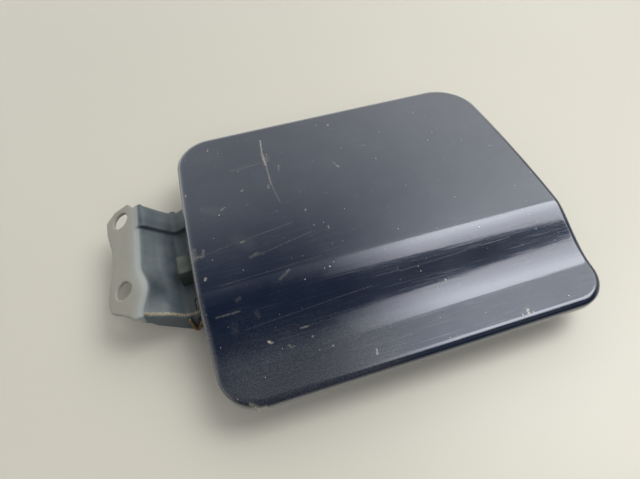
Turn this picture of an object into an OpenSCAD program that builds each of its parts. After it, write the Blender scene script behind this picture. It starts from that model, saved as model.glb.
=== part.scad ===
// Car fuel door: a hemmed steel door with its hinge arm, on the hinge base that bolts to the body.
// It lies on a table, face up and fully open, as it would come out of a car.
// Places are worked out from the middle of the door's skin: X to the right, Y to the back, Z up.
// The part is then moved so that its origin is under the middle of the whole, on the table.

/* [Door outline] */
// Nominal width of the door
panel_w = 170; // [150:1:190]
// Nominal depth of the door, front to back
panel_h = 147; // [130:1:165]
// Corner radius, back right
corner_back_right = 20.5; // [16:0.5:26]
// Corner radius, back left
corner_back_left = 18; // [16:0.5:26]
// Corner radius, front left
corner_front_left = 17.5; // [15.5:0.5:24]
// Corner radius, front right
corner_front_right = 15.5; // [15:0.5:24]
// How much the right edge bows outwards
bow_right = 2.2; // [0:0.1:4]
// How much the left edge bows outwards
bow_left = 1.8; // [0:0.1:4]
// How much the front edge bows outwards
bow_front = 0.4; // [0:0.1:3]
// How much narrower the back edge is than the front edge
narrowing = 6.5; // [0:0.5:12]
// How far the back edge leans to the left of the front edge
lean = 1.2; // [0:0.1:4]

/* [Door skin] */
// Thickness of the skin's sheet
skin_t = 0.8; // [0.6:0.05:1.0]
// Distance from the front edge to the middle of the pressed step
step_from_front = 33.6; // [31:0.2:45]
// Width of the pressed step, front to back
step_w = 33; // [26:0.5:35]
// How far the front band lies below the rest
step_d = 9.4; // [4:0.2:11]
// Rise of the crown, front to back
crown_y = 1.6; // [0.5:0.1:2.2]
// Rise of the crown, side to side
crown_x = 0.2; // [0:0.1:1]
// Height of the folded rim
rim_h = 6; // [5.6:0.1:7]
// Radius where the skin turns down into the rim
rim_r = 2.5; // [1.5:0.1:3]
// Width of the hem that is folded under
hem_w = 8; // [6:0.5:8.5]
// Radius of the hem's fold
hem_r = 1.2; // [1.05:0.05:1.4]

/* [Inner panel] */
// Thickness of the inner panel's sheet
inner_t = 0.8; // [0.6:0.05:1.0]
// Depth of the inner panel's lower face below the skin, in its flat field
field_d = 4.6; // [4.4:0.1:4.8]
// Width of the flange that the hem clamps, from the outline
flange_w = 10; // [9.5:0.1:10.5]
// Width of the ramp between flange and field
ramp_w = 4; // [3:0.1:4.4]
// Radius of the paint drain holes
drain_r = 4; // [3:0.5:6]
// Distance of the back drain holes from the door's back edge
drain_in = 21.5; // [18.5:0.5:29.5]
// Half the distance between the back drain holes
drain_x = 20; // [16:1:24]

/* [Hinge] */
// How far the hinge pin lies inside the door's left edge
pin_in = 11; // [10:0.5:13]
// Radius of the hinge pin
pin_r = 3; // [2.5:0.1:3.2]
// Running clearance round the pin in the arm
pin_clear = 0.05; // [0.02:0.01:0.1]
// Clearance round the pin in the base's ears, where it is fixed
pin_fix = 0.02; // [0.01:0.01:0.04]
// Gap between the arm's lugs and the base's ears
lug_gap = 0.3; // [0.2:0.05:0.6]
// Radius of the pin's head
head_r = 4.6; // [4:0.1:5.2]
// Thickness of the pin's head
head_t = 1.8; // [1:0.1:2.5]
// How far the pin stands out past the retaining clip
pin_tail = 1.2; // [0.8:0.1:2]
// Thickness of the retaining clip
clip_t = 0.8; // [0.6:0.1:1]
// Outer radius of the retaining clip
clip_r = 5; // [4.5:0.1:5.5]
// Depth of the clip's groove in the pin
groove_d = 0.5; // [0.3:0.05:0.7]

/* [Hinge arm] */
// Thickness of the arm's sheet
arm_t = 2; // [1.5:0.1:2.2]
// Radius of the arm's eye round the pin
arm_eye_r = 5.5; // [5:0.1:5.7]
// Length of the arm's plate on the inner panel
arm_len = 32; // [26:1:44]
// How far the arm's lugs stand down at the plate's end
arm_lip = 3; // [2:0.5:5]

/* [Hinge base] */
// Thickness of the base's sheet
base_t = 2; // [1.6:0.1:2.2]
// Width of the base over its two ears
base_w = 62; // [54:0.5:72]
// Distance of the base's middle behind the door's middle
base_y = 8.2; // [2:0.2:12]
// How far the crest stands out from the door's left edge
crest_out = 23.6; // [21:0.2:27]
// How far the crest lies below the skin
crest_drop = 4.6; // [4.2:0.1:5.5]
// Slope of the mounting flange
flange_slope = 27; // [22:0.5:32]
// Slope of the web between crest and valley
web_slope = 42; // [40:0.5:44]
// Slope of the lip past the valley
lip_slope = 25; // [15:1:27]
// How far the valley lies outside the door's left edge
valley_out = 8.2; // [7.5:0.1:9]
// Width of the lip past the valley
lip_w = 8.7; // [6:0.1:9.4]
// Outer bend radius of the crest
crest_r = 4; // [3:0.1:5]
// Inner bend radius of the valley
valley_r = 5; // [3:0.1:6]
// Depth of the ears below the web
ear_d = 8.6; // [8:0.1:9.2]
// Radius of the ears' eyes round the pin
ear_eye_r = 6; // [5.5:0.1:6.2]
// Radius of the folds between web and ears
fold_r = 2.5; // [2.1:0.1:3]
// Height of the raised strip along the web's back edge
strip_h = 2.4; // [1.5:0.1:2.6]
// Width of the raised strip
strip_w = 13; // [10:0.5:16]
// Height of the door's skin above the table
stand_h = 30; // [29:0.2:32]

/* [Mounting flange] */
// Reach of the flange's back tab, from the crest
tab_reach = 18.5; // [17:0.1:20]
// Reach of the flange's front pad, from the crest
pad_reach = 19.8; // [18.5:0.1:21]
// Reach of the flange's edge between the two
recess_reach = 16.3; // [15:0.1:17]
// How far the back tab stands out behind the base
tab_over = 4.4; // [3:0.1:6]
// Radius of the mounting holes
hole_r = 4.3; // [3.2:0.05:4.4]
// Distance of the back hole from the crest
hole_back_out = 9.9; // [9.3:0.1:11]
// Distance of the back hole from the base's back edge
hole_back_in = 3.4; // [2.6:0.1:6]
// Distance of the front hole from the crest
hole_front_out = 10.7; // [9.6:0.1:12]
// Distance between the two holes, along the crest
hole_pitch = 41.3; // [38:0.1:44]
// From the base's front edge to the pad's front shoulder
pad_from = 9.5; // [8:0.5:11]
// From the base's front edge to the pad's widest place
pad_widest = 15; // [13:0.5:17]
// From the base's front edge to the pad's back shoulder
pad_to = 23; // [21:0.5:25]
// From the base's front edge to the start of the narrow edge
recess_from = 32; // [28:0.5:34]
// From the base's back edge to the end of the narrow edge
recess_to = 19; // [17:0.5:21]
// From the base's back edge to the back tab's shoulder
tab_from = 7; // [5:0.5:9]

/* [Spring and buffers] */
// Diameter of the spring's wire
wire_d = 1.6; // [1.2:0.1:1.8]
// Mean radius of the spring's coil
coil_r = 4.6; // [4.3:0.1:4.7]
// Whole turns of the coil
coil_turns = 4; // [3:1:6]
// Distance between turns
coil_pitch = 2; // [1.9:0.05:2.2]
// Length of the leg under the arm
leg_len = 22; // [14:1:26]
// Distance of the leg's hole in the front ear from the door's left edge
leg_out = 3.6; // [3.2:0.1:4]
// Distance of the leg's hole below the pin
leg_drop = 9; // [8.6:0.1:9.4]
// Width of the hook on the leg's end
hook_w = 4.8; // [3.6:0.1:5.4]
// Drop of the hook below the leg's hole
hook_drop = 6.2; // [4:0.1:6.6]
// Play between spring and arm
spring_gap = 0.1; // [0.05:0.05:0.3]
// Length of the rubber stop, front to back
stop_len = 9.5; // [6:0.5:14]
// Width of the rubber stop
stop_w = 8; // [6:0.5:8.4]
// Distance of the rubber stop's middle in front of the door's middle
stop_front = 1.3; // [0:0.1:6]
// Gap between the rubber stop and the hem
stop_gap = 0.3; // [0.2:0.1:0.5]
// Radius of the door's rubber buffers
buffer_r = 6; // [5:0.1:6.4]
// Height of the door's rubber buffers
buffer_h = 7; // [5:0.5:10]
// Radius of a buffer's neck in the inner panel
neck_r = 3.2; // [2.5:0.1:3.6]
// Clearance round a buffer's neck
neck_clear = 0.2; // [0.1:0.05:0.4]
// Distance of the buffers from the door's right edge
buffer_in = 22; // [20:0.5:28]
// Distance of the back buffer from the door's back edge
buffer_back_in = 27.5; // [23.5:0.5:35.5]
// Distance of the front buffer and the front drain hole behind the step
buffer_behind = 6; // [5.8:0.05:6.4]
// Radius of the mastic pads
mastic_r = 8; // [5:0.5:10]
// Distance of the mastic pads from the door's middle line
mastic_x = 39; // [34:0.5:46]
// Distance of the back mastic pads from the door's back edge
mastic_back_in = 33.5; // [30:0.5:38]
// Distance of the front mastic pads behind the step
mastic_behind = 17.4; // [15:0.2:22]

/* [Striker] */
// Distance of the striker from the door's right edge
striker_in = 27; // [24:0.5:34]
// Distance of the striker behind the step
striker_behind = 29; // [28.7:0.05:30.5]
// Length of the striker's bracket, side to side
striker_len = 18; // [14:0.5:22]
// Thickness of the striker's bracket
striker_t = 1.5; // [1:0.1:2]
// Height of the striker's bracket
striker_h = 9; // [7:0.5:11]
// Gap between the loop's legs and the bracket's sides
loop_side = 1; // [0.5:0.1:1.2]
// Width of each foot of the bracket
foot_w = 4.4; // [3.5:0.1:4.8]
// Radius of the striker's wire loop
loop_r = 2.5; // [2:0.1:2.8]
// Distance between the loop's two legs, centre to centre
loop_w = 14; // [13:0.5:14.5]

/* [Hidden] */
$fn = 48;

// Clearance between sheets that are clamped together
sheet_gap = 0.05;
// Clearance between the inner panel's edge and the inside of the rim
edge_gap = 0.3;
// Places across and round the pressed sheets: columns, rows in a corner, in the step and behind it
columns = 8;
corner_rows = 7;
step_rows = 11;
back_rows = 6;
rows = 2 * corner_rows + step_rows + back_rows;
around = 2 * (columns + rows);

// Larger corner radius at each end
front_corner = max(corner_front_left, corner_front_right);
back_corner = max(corner_back_left, corner_back_right);

// Middle of the step, and the line behind which the door is flat
step_y = -panel_h / 2 + step_from_front;
flat_y = step_y + step_w / 2;

// Heights, below the skin's middle
arm_z = -field_d - arm_t;
pin_z = arm_z - spring_gap - wire_d / 2 - coil_r;
table_z = -stand_h;

// Places from the door's nominal edges
left_x = -panel_w / 2;
right_x = panel_w / 2;
pin_x = left_x + pin_in;
crest = [left_x - crest_out, -crest_drop];
valley = crest + (crest_out - valley_out) * [1, -tan(web_slope)];
lip_end = valley + lip_w * [1, tan(lip_slope)];
base_front = base_y - base_w / 2;
base_back = base_y + base_w / 2;
strip_front = base_back - strip_w;

// The mounting holes, as distance from the crest and place along it
hole_back = [hole_back_out, base_back - hole_back_in];
hole_front = [hole_front_out, base_back - hole_back_in - hole_pitch];

// The arm lies between the ears, and starts where the inner panel is flat
arm_front = base_front + base_t + lug_gap;
arm_back = base_back - base_t - lug_gap;
arm_x = left_x - bow_left + flange_w + ramp_w + 1;

striker_x = right_x - striker_in;
striker_y = flat_y + striker_behind;
buffer_x = right_x - buffer_in;
buffer_back_y = panel_h / 2 - buffer_back_in;
buffer_front_y = flat_y + buffer_behind;

// Moves the part from the door's middle to its own origin
outline_xy = [for (k = [0:around - 1]) plan_at(0, k)];
reach_left = crest[0] - pad_reach * cos(flange_slope);
reach_right = max([for (p = outline_xy) p[0]]);
reach_front = min([for (p = outline_xy) p[1]]);
reach_back = max([for (p = outline_xy) p[1]]);
origin = [(reach_left + reach_right) / 2, (reach_front + reach_back) / 2, table_z];

module placed() {
    translate(-origin) children();
}

// Smooth change from 0 to 1
function smooth(t) = let (u = min(max(t, 0), 1)) u * u * (3 - 2 * u);

// Drop of the pressed step, the crown's share of its rise, and height of the skin's upper face.
// The crown is a parabola behind the step. Its slope dies out down the step, so the front band is straight.
function step_z(y) = -step_d * smooth((step_y - y) / step_w + 0.5);
function crown_at(y) =
    let (down = min(max((flat_y - y) / step_w, 0), 1))
    pow(2 * max(y, flat_y) / panel_h, 2) - 8 * flat_y * step_w / pow(panel_h, 2) * (down - down * down / 2);
function skin_z(x, y) = step_z(y) - crown_y * crown_at(y) - crown_x * pow(2 * x / panel_w, 2);

// Evenly spaced numbers from a to b, without the first
function spread(a, b, n) = [for (k = [1:n]) a + (b - a) * k / n];

// Rows of the pressed sheets, at an inset from the outline
function front_rows(d) = [
    for (k = [0:corner_rows])
        -panel_h / 2 + d + max(front_corner - d, 0.5) * (1 - cos(90 * k / corner_rows))
];
function middle_rows(d) = concat(
    spread(-panel_h / 2 + max(front_corner, d + 0.5), flat_y, step_rows),
    spread(flat_y, panel_h / 2 - max(back_corner, d + 0.5), back_rows)
);
function far_rows(d) = [
    for (k = [1:corner_rows])
        panel_h / 2 - d - max(back_corner - d, 0.5) * (1 - sin(90 * k / corner_rows))
];
function row_list(d) = concat(front_rows(d), middle_rows(d), far_rows(d));

// Half width of the nominal outline at a row, for one corner radius at each end
function side_x(d, y, r_front, r_back) =
    let (r = max((y < 0 ? r_front : r_back) - d, 0.5))
    let (rise = max(abs(y) - (panel_h / 2 - d - r), 0))
    panel_w / 2 - d - r + sqrt(max(r * r - rise * rise, 0));

// Taper, lean and bowed edges of the real outline
function shaped(x, y) = [
    x * (1 - narrowing / panel_w * y / panel_h) - lean * y / panel_h
        + (x > 0 ? bow_right : -bow_left) * (1 - pow(2 * y / panel_h, 2)) * abs(2 * x / panel_w),
    y - (y < 0 ? bow_front : 0) * (1 - pow(2 * x / panel_w, 2)) * abs(2 * y / panel_h),
];

// Place of a column and row, at an inset from the outline
function plan(d, i, y) =
    let (left = -side_x(d, y, corner_front_left, corner_back_left))
    let (right = side_x(d, y, corner_front_right, corner_back_right))
    shaped(left + (right - left) * i / columns, y);

// Column and row of each place round the outline: front, right, back, left
function around_ij(k) =
    k <= columns ? [k, 0]
    : k <= columns + rows ? [columns, k - columns]
    : k <= 2 * columns + rows ? [2 * columns + rows - k, rows]
    : [0, around - k];
function plan_at(d, k) = let (ij = around_ij(k)) plan(d, ij[0], row_list(d)[ij[1]]);

// A sheet's face over the whole plan, and one ring of places round it
function face_points(d, drop, flat) =
    let (ys = row_list(d))
    [
        for (j = [0:rows], i = [0:columns])
            let (p = plan(d, i, ys[j])) [p[0], p[1], height_at(p, drop, flat)]
    ];
function ring_points(d, drop, flat) =
    let (ys = row_list(d))
    [
        for (k = [0:around - 1])
            let (ij = around_ij(k), p = plan(d, ij[0], ys[ij[1]]))
            [p[0], p[1], height_at(p, drop, flat)]
    ];
function height_at(p, drop, flat) = (flat ? step_z(p[1]) : skin_z(p[0], p[1])) - drop;

// Triangles of a face that looks up or down, and of the band between two rings
function cell(a, b, c, d, up) = up ? [[a, d, c], [a, c, b]] : [[a, c, d], [a, b, c]];
function face_tris(start, up) = [
    for (j = [0:rows - 1], i = [0:columns - 1])
        let (a = start + j * (columns + 1) + i, b = a + columns + 1)
        each cell(a, a + 1, b + 1, b, up)
];
function band_tris(from, to) = [
    for (k = [0:around - 1]) each cell(from[k], from[(k + 1) % around], to[(k + 1) % around], to[k], true)
];
function edge_ids(start) = [
    for (k = [0:around - 1]) let (ij = around_ij(k)) start + ij[1] * (columns + 1) + ij[0]
];
function ring_ids(start) = [for (k = [0:around - 1]) start + k];

// A pressed sheet: its upper face, rings round its edge from the upper to the lower face, its lower face
module pressing(upper, rings, lower) {
    face_n = (columns + 1) * (rows + 1);
    points = concat(
        face_points(upper[0], upper[1], upper[2]),
        [for (r = rings) each ring_points(r[0], r[1], r[2])],
        face_points(lower[0], lower[1], lower[2])
    );
    lower_start = face_n + len(rings) * around;
    ids = concat(
        [edge_ids(0)],
        [for (r = [0:len(rings) - 1]) ring_ids(face_n + r * around)],
        [edge_ids(lower_start)]
    );
    bands = [for (r = [0:len(rings)]) each band_tris(ids[r + 1], ids[r])];
    polyhedron(points, concat(face_tris(0, true), bands, face_tris(lower_start, false)), convexity = 6);
}

// A path with each inner corner rounded to its radius
function unit(v) = v / norm(v);
function corner_arc(a, b, c, r, n = 6) =
    let (u = unit(a - b), v = unit(c - b))
    let (half = acos(max(min(u * v, 1), -1)) / 2)
    r <= 0 || cos(half) < 0.002 ? [b] :
    let (mid = b + unit(u + v) * r / sin(half))
    let (from = b + u * r / tan(half) - mid, to = b + v * r / tan(half) - mid)
    let (sweep = 180 - 2 * half, turn = sign(from[0] * to[1] - from[1] * to[0]))
    [for (k = [0:n]) let (w = turn * sweep * k / n) mid + [
        from[0] * cos(w) - from[1] * sin(w),
        from[0] * sin(w) + from[1] * cos(w),
    ]];
function rounded(points, radii) = [
    for (k = [0:len(points) - 1])
        let (last = points[(k + len(points) - 1) % len(points)], next = points[(k + 1) % len(points)])
        each corner_arc(last, points[k], next, radii[k])
];

// Draws an X-Z outline and extends it along Y
module along_y(y0, y1) {
    translate([0, y1, 0]) rotate([90, 0, 0]) linear_extrude(y1 - y0) children();
}

// A vertical cylinder and one along Y, centred on an X-Z place
module post(x, y, z0, z1, r) {
    translate([x, y, z0]) cylinder(h = z1 - z0, r = r);
}
module rod_y(x, z, y0, y1, r) {
    translate([x, y1, z]) rotate([90, 0, 0]) cylinder(h = y1 - y0, r = r);
}

// The painted outer sheet: crown, pressed step, rim and the hem folded under
module outer_panel() {
    turns = [30, 60, 90];
    outer_rim = [for (a = turns) [rim_r * (1 - sin(a)), rim_r * (1 - cos(a)), false]];
    outer_fold = [for (a = [0, 45, 90]) [hem_r * (1 - cos(a)), rim_h - hem_r * (1 - sin(a)), false]];
    hem = [[hem_w, rim_h, false], [hem_w, rim_h - skin_t, false]];
    inner_fold = [[hem_r, rim_h - skin_t, false], [skin_t, rim_h - hem_r, false]];
    bend = rim_r - skin_t;
    inner_rim = [
        for (a = [90, 60, 30]) [skin_t + bend * (1 - sin(a)), skin_t + bend * (1 - cos(a)), false]
    ];
    rings = concat(outer_rim, outer_fold, hem, inner_fold, inner_rim);
    color("midnightblue") pressing([rim_r, 0, false], rings, [rim_r, skin_t, false]);
}

// The inner sheet: a flange inside the hem, a ramp and a field that keeps clear of the skin
clamp_drop = rim_h - skin_t - sheet_gap;
field_in = flange_w + ramp_w;
drain_y = panel_h / 2 - drain_in;
drains = [[-drain_x, drain_y], [drain_x, drain_y], [0, buffer_front_y]];
module inner_panel() {
    edge_in = max(skin_t, hem_r) + edge_gap;
    rings = [
        [flange_w, clamp_drop - inner_t, false],
        [edge_in, clamp_drop - inner_t, false],
        [edge_in, clamp_drop, false],
        [flange_w, clamp_drop, false],
    ];
    color("lightslategray") difference() {
        pressing([field_in, field_d - inner_t, true], rings, [field_in, field_d, true]);
        for (p = drains) post(p[0], p[1], -2 * field_d, 0, drain_r);
        for (y = [buffer_back_y, buffer_front_y]) post(buffer_x, y, -2 * field_d, 0, neck_r + neck_clear);
    }
}

// The bead of sealer along the hem's cut edge
bead_h = 0.85;
bead_gap = 0.02;
module hem_sealer() {
    bead = [
        [hem_w + sheet_gap, clamp_drop + bead_gap],
        [hem_w + sheet_gap, clamp_drop + bead_h - 0.1],
        [hem_w + 0.6, clamp_drop + bead_h],
        [flange_w - 0.4, clamp_drop + bead_h / 2],
        [flange_w - 0.1, clamp_drop + bead_gap],
    ];
    n = len(bead);
    points = [for (b = bead) each ring_points(b[0], b[1], false)];
    ids = [for (k = [0:n - 1]) ring_ids(k * around)];
    bands = [for (k = [0:n - 1]) each band_tris(ids[(k + 1) % n], ids[k])];
    color("dimgray") polyhedron(points, bands, convexity = 6);
}

// Pads of mastic that keep the skin from drumming on the inner panel
mastic_back_y = panel_h / 2 - mastic_back_in;
mastic_front_y = flat_y + mastic_behind;
mastic_places = [
    [-mastic_x, mastic_back_y], [mastic_x, mastic_back_y],
    [-mastic_x, mastic_front_y], [mastic_x, mastic_front_y],
];
module mastic_pad(k) {
    p = mastic_places[k - 1];
    seat = -field_d + inner_t;
    under_skin = skin_z(p[0], p[1] + sign(p[1]) * mastic_r) - skin_t;
    color("darkolivegreen") post(p[0], p[1], seat, under_skin - stop_gap, mastic_r);
}

// The arm: a plate welded to the inner panel, with a lug at each end that turns on the pin
module lug_outline() {
    union() {
        translate([pin_x, pin_z]) circle(arm_eye_r);
        polygon(rounded(
            [
                [pin_x - 1, pin_z + arm_eye_r - 0.5], [arm_x, arm_z + arm_t],
                [arm_x + arm_len, arm_z + arm_t], [arm_x + arm_len, arm_z - arm_lip],
                [pin_x + 4 * arm_lip, pin_z - arm_lip], [pin_x, pin_z - arm_eye_r],
            ],
            [0, 0, 0, 2, 6, 0]
        ));
    }
}
module hinge_arm() {
    color("slategray") difference() {
        union() {
            translate([arm_x, arm_front, arm_z]) cube([arm_len, arm_back - arm_front, arm_t]);
            along_y(arm_front, arm_front + arm_t) lug_outline();
            along_y(arm_back - arm_t, arm_back) lug_outline();
        }
        rod_y(pin_x, pin_z, arm_front - 1, arm_back + 1, pin_r + pin_clear);
    }
}

// Where a line at one height above the flange meets a line at another height above the web
function crest_at(flange_lift, web_lift) =
    let (turn = flange_slope + web_slope)
    let (along = (web_lift - flange_lift * cos(turn)) / sin(turn))
    let (up = [-sin(flange_slope), cos(flange_slope)])
    crest + along * [cos(flange_slope), sin(flange_slope)] + flange_lift * up;

// The line of the base's upper face, raised by lift: from the crest through the valley to the lip's edge
function bent_line(lift) =
    let (top = crest_at(0, lift))
    let (lip_up = lift * [-sin(lip_slope), cos(lip_slope)])
    let (low = valley + lift * unit([sin(web_slope) - sin(lip_slope), cos(web_slope) + cos(lip_slope)])
        / cos((web_slope + lip_slope) / 2))
    [top, low, lip_end + lip_up];

// Section of the bent sheet from the flange's reach to the lip, raised by lift
module base_section(lift) {
    line = bent_line(lift);
    under = bent_line(lift - base_t);
    down = [cos(flange_slope), sin(flange_slope)] * (max(pad_reach, tab_reach) + 2);
    start = line[0] - down;
    low_start = start + base_t * [sin(flange_slope), -cos(flange_slope)];
    under_crest = crest_at(-base_t, lift - base_t);
    polygon(rounded(
        [start, line[0], line[1], line[2], under[2], under[1], under_crest, low_start],
        [0, crest_r, valley_r, 0, 0, valley_r + base_t, crest_r - base_t, 0]
    ));
}

// Outline of an ear: along the web, down to the table and round the pin's eye
function under_web(x) = crest[1] - (x - crest[0]) * tan(web_slope) - ear_d / cos(web_slope);
ear_over = 1.5;
module ear_outline(lift) {
    line = bent_line(lift - base_t / 2);
    ear_left = crest[0] - ear_over;
    foot_x = crest[0] + (crest[1] - ear_d / cos(web_slope) - table_z) / tan(web_slope);
    union() {
        translate([pin_x, pin_z]) circle(ear_eye_r);
        polygon(rounded(
            [
                line[0], [ear_left, crest[1] - base_t], [ear_left, under_web(ear_left)], [foot_x, table_z],
                [pin_x + ear_eye_r, table_z], [pin_x + ear_eye_r, pin_z], [pin_x - ear_eye_r, pin_z],
                line[2], line[1],
            ],
            [0, 0, 1, 3, 4, 0, 0, 0, 0]
        ));
    }
}

// Rounds the outside of the fold between web or lip and an ear
module fold_cut(start, slope, length) {
    translate([start[0], 0, start[1]]) rotate([0, slope, 0]) rotate([90, 0, 90])
        linear_extrude(length) difference() {
            translate([-1, -fold_r]) square([fold_r + 1, fold_r + 1]);
            translate([fold_r, -fold_r]) circle(fold_r);
        }
}
module fold_cuts(lift) {
    line = bent_line(lift);
    fold_cut(line[0] + [1, -tan(web_slope)], web_slope, norm(line[1] - line[0]) - 3);
    fold_cut(line[1] + [1, tan(lip_slope)], -lip_slope, norm(line[2] - line[1]));
}

// What is left of the bent sheet, as distance out from the crest and place along it
tab_bevel = 0.4;
module base_outline() {
    back = base_back;
    front = base_front;
    shoulder = [pad_reach - 1, front + pad_from];
    past_front = [2 * base_t, front] - 0.2 * (shoulder - [2 * base_t, front]);
    inside = -base_w;
    polygon(rounded(
        [
            [inside, past_front[1]], past_front, shoulder, [pad_reach, front + pad_widest],
            [pad_reach - 1, front + pad_to],
            [recess_reach, front + recess_from], [recess_reach, back - recess_to],
            [tab_reach, back - tab_from], [tab_reach, back + tab_bevel], [tab_reach - 6, back + tab_over],
            [5, back + tab_over], [base_t, back], [inside, back],
        ],
        [0, 0, 4, 8, 8, 8, 8, 8, 2, 3, 2, 0, 0]
    ));
}

// Cuts the bent sheet to its outline, square to the flange
module outline_cut() {
    translate([crest[0], 0, crest[1]]) rotate([0, -flange_slope, 0]) mirror([1, 0, 0])
        translate([0, 0, -base_w]) linear_extrude(2 * base_w) difference() {
            translate([-base_w + 1, base_front - 1]) square([base_w + 2 * pad_reach, base_w + 3 * tab_over]);
            base_outline();
        }
}

// The base: a bent sheet with a mounting flange, a raised strip, and two ears that hold the pin
leg_x = left_x - leg_out;
leg_z = pin_z - leg_drop;
leg_clear = 0.3;
module base_bracket() {
    color("lightsteelblue") difference() {
        union() {
            along_y(base_front, strip_front + base_t / 2) base_section(0);
            along_y(strip_front - base_t / 2, base_back + tab_over + 1) base_section(strip_h);
            along_y(strip_front - base_t / 2, strip_front + base_t / 2) strip_wall();
            along_y(base_front, base_front + base_t) ear_outline(0);
            along_y(base_back - base_t, base_back) ear_outline(strip_h);
        }
        outline_cut();
        translate([0, base_front, 0]) fold_cuts(0);
        translate([0, base_back, 0]) mirror([0, 1, 0]) fold_cuts(strip_h);
        for (p = [hole_back, hole_front]) mounting_hole(p);
        rod_y(pin_x, pin_z, base_front - 1, base_back + 1, pin_r + pin_fix);
        rod_y(leg_x, leg_z, base_front - 1, base_front + base_t + 1, wire_d / 2 + leg_clear);
        translate([leg_x - 1, base_front + base_t, leg_z]) cube(relief);
    }
}

// Room for the spring's leg beside the front ear
relief = [8.7, 6.4, 10.7];

// The wall between the web's main face and the raised strip
module strip_wall() {
    line = bent_line(strip_h - base_t / 2);
    under = bent_line(-base_t / 2);
    polygon([line[0], line[1], line[2], under[2], under[1], under[0]]);
}
module mounting_hole(p) {
    translate([crest[0], 0, crest[1]]) rotate([0, -flange_slope, 0]) translate([-p[0], p[1], -2 * base_t])
        cylinder(h = 4 * base_t, r = hole_r);
}

// The pin, with a head behind the back ear and a groove for the clip in front of the front ear
end_play = 0.1;
clip_y = base_front - end_play - clip_t;
module hinge_pin() {
    color("silver") difference() {
        union() {
            rod_y(pin_x, pin_z, clip_y - pin_tail, base_back + end_play + head_t / 2, pin_r);
            rod_y(pin_x, pin_z, base_back + end_play, base_back + end_play + head_t, head_r);
        }
        difference() {
            rod_y(pin_x, pin_z, clip_y - 0.05, clip_y + clip_t + 0.05, pin_r + 1);
            rod_y(pin_x, pin_z, clip_y - 1, clip_y + clip_t + 1, pin_r - groove_d);
        }
    }
}
module pin_clip() {
    color("gray") difference() {
        rod_y(pin_x, pin_z, clip_y, clip_y + clip_t, clip_r);
        rod_y(pin_x, pin_z, clip_y - 1, clip_y + clip_t + 1, pin_r - groove_d + 0.05);
        translate([pin_x - pin_r * 0.7, clip_y - 1, pin_z - clip_r - 1])
            cube([pin_r * 1.4, clip_t + 2, clip_r + 1]);
    }
}

// The torsion spring: a leg under the arm, the coil round the pin, and a leg through the front ear
coil_y = arm_front + arm_t + 0.4 + wire_d / 2;
leg_reach = norm([leg_x - pin_x, leg_z - pin_z]);
end_angle = 180 + atan((leg_z - pin_z) / (leg_x - pin_x)) - acos(coil_r / leg_reach);
sweep_angle = 360 * coil_turns + end_angle - 90;
coil_steps = 14 * coil_turns;
hook_y = base_front - wire_d / 2 - leg_clear;
spring_path = concat(
    [[pin_x + leg_len, coil_y + coil_pitch * sweep_angle / 360, pin_z + coil_r]],
    [
        for (k = [0:coil_steps])
            let (a = 90 + sweep_angle * k / coil_steps)
            let (y = coil_y + coil_pitch * (sweep_angle + 90 - a) / 360)
            [pin_x + coil_r * cos(a), y, pin_z + coil_r * sin(a)]
    ],
    [
        [leg_x + 1, coil_y, leg_z + 1.1], [leg_x, coil_y - 1, leg_z], [leg_x, hook_y + 0.9, leg_z],
        [leg_x - 0.1 * hook_w, hook_y, leg_z - 0.13 * hook_drop],
        [leg_x - 0.54 * hook_w, hook_y, leg_z - 0.9 * hook_drop],
        [leg_x - 0.7 * hook_w, hook_y, leg_z - hook_drop],
        [leg_x - 0.84 * hook_w, hook_y, leg_z - 0.87 * hook_drop],
        [leg_x - hook_w, hook_y, leg_z + hook_drop / 2],
    ]
);
module hinge_spring() {
    color("saddlebrown") wire(spring_path, wire_d / 2, 8);
}

// A round wire along a path: each ring is square to the path, turned from one fixed direction
function path_dir(p, k) = unit(p[min(k + 1, len(p) - 1)] - p[max(k - 1, 0)]);
module wire(path, r, sides) {
    side_ref = unit([0.6, 0.8, 0]);
    points = [
        for (k = [0:len(path) - 1])
            let (t = path_dir(path, k), u = unit(cross(t, side_ref)), v = cross(t, u))
            for (s = [0:sides - 1]) path[k] + r * (cos(360 * s / sides) * u + sin(360 * s / sides) * v)
    ];
    walls = [
        for (k = [0:len(path) - 2], s = [0:sides - 1])
            let (a = k * sides + s, b = k * sides + (s + 1) % sides)
            each [[a, b + sides, b], [a, a + sides, b + sides]]
    ];
    last = (len(path) - 1) * sides;
    ends = [[for (s = [0:sides - 1]) s], [for (s = [sides - 1:-1:0]) last + s]];
    polyhedron(points, concat(walls, ends), convexity = 8);
}

// The rubber stop in the base's valley, just under the hem of the open door
stop_over = 0.4;
module stop_buffer() {
    top = skin_z(left_x, 0) - rim_h - stop_gap;
    left = valley[0] - stop_over;
    line = bent_line(0);
    above = [[crest[0], 10], crest, line[1], line[2], [line[2][0], 10]];
    color("darkslategray") intersection() {
        along_y(-stop_front - stop_len / 2, -stop_front + stop_len / 2)
            polygon(rounded(
                [[left, valley[1] - 5], [left, top], [left + stop_w, top], [left + stop_w, valley[1] - 5]],
                [0, 1, 1, 0]
            ));
        along_y(-panel_h / 2, panel_h / 2) polygon(rounded(above, [0, 0, valley_r, 0, 0]));
    }
}

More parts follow.
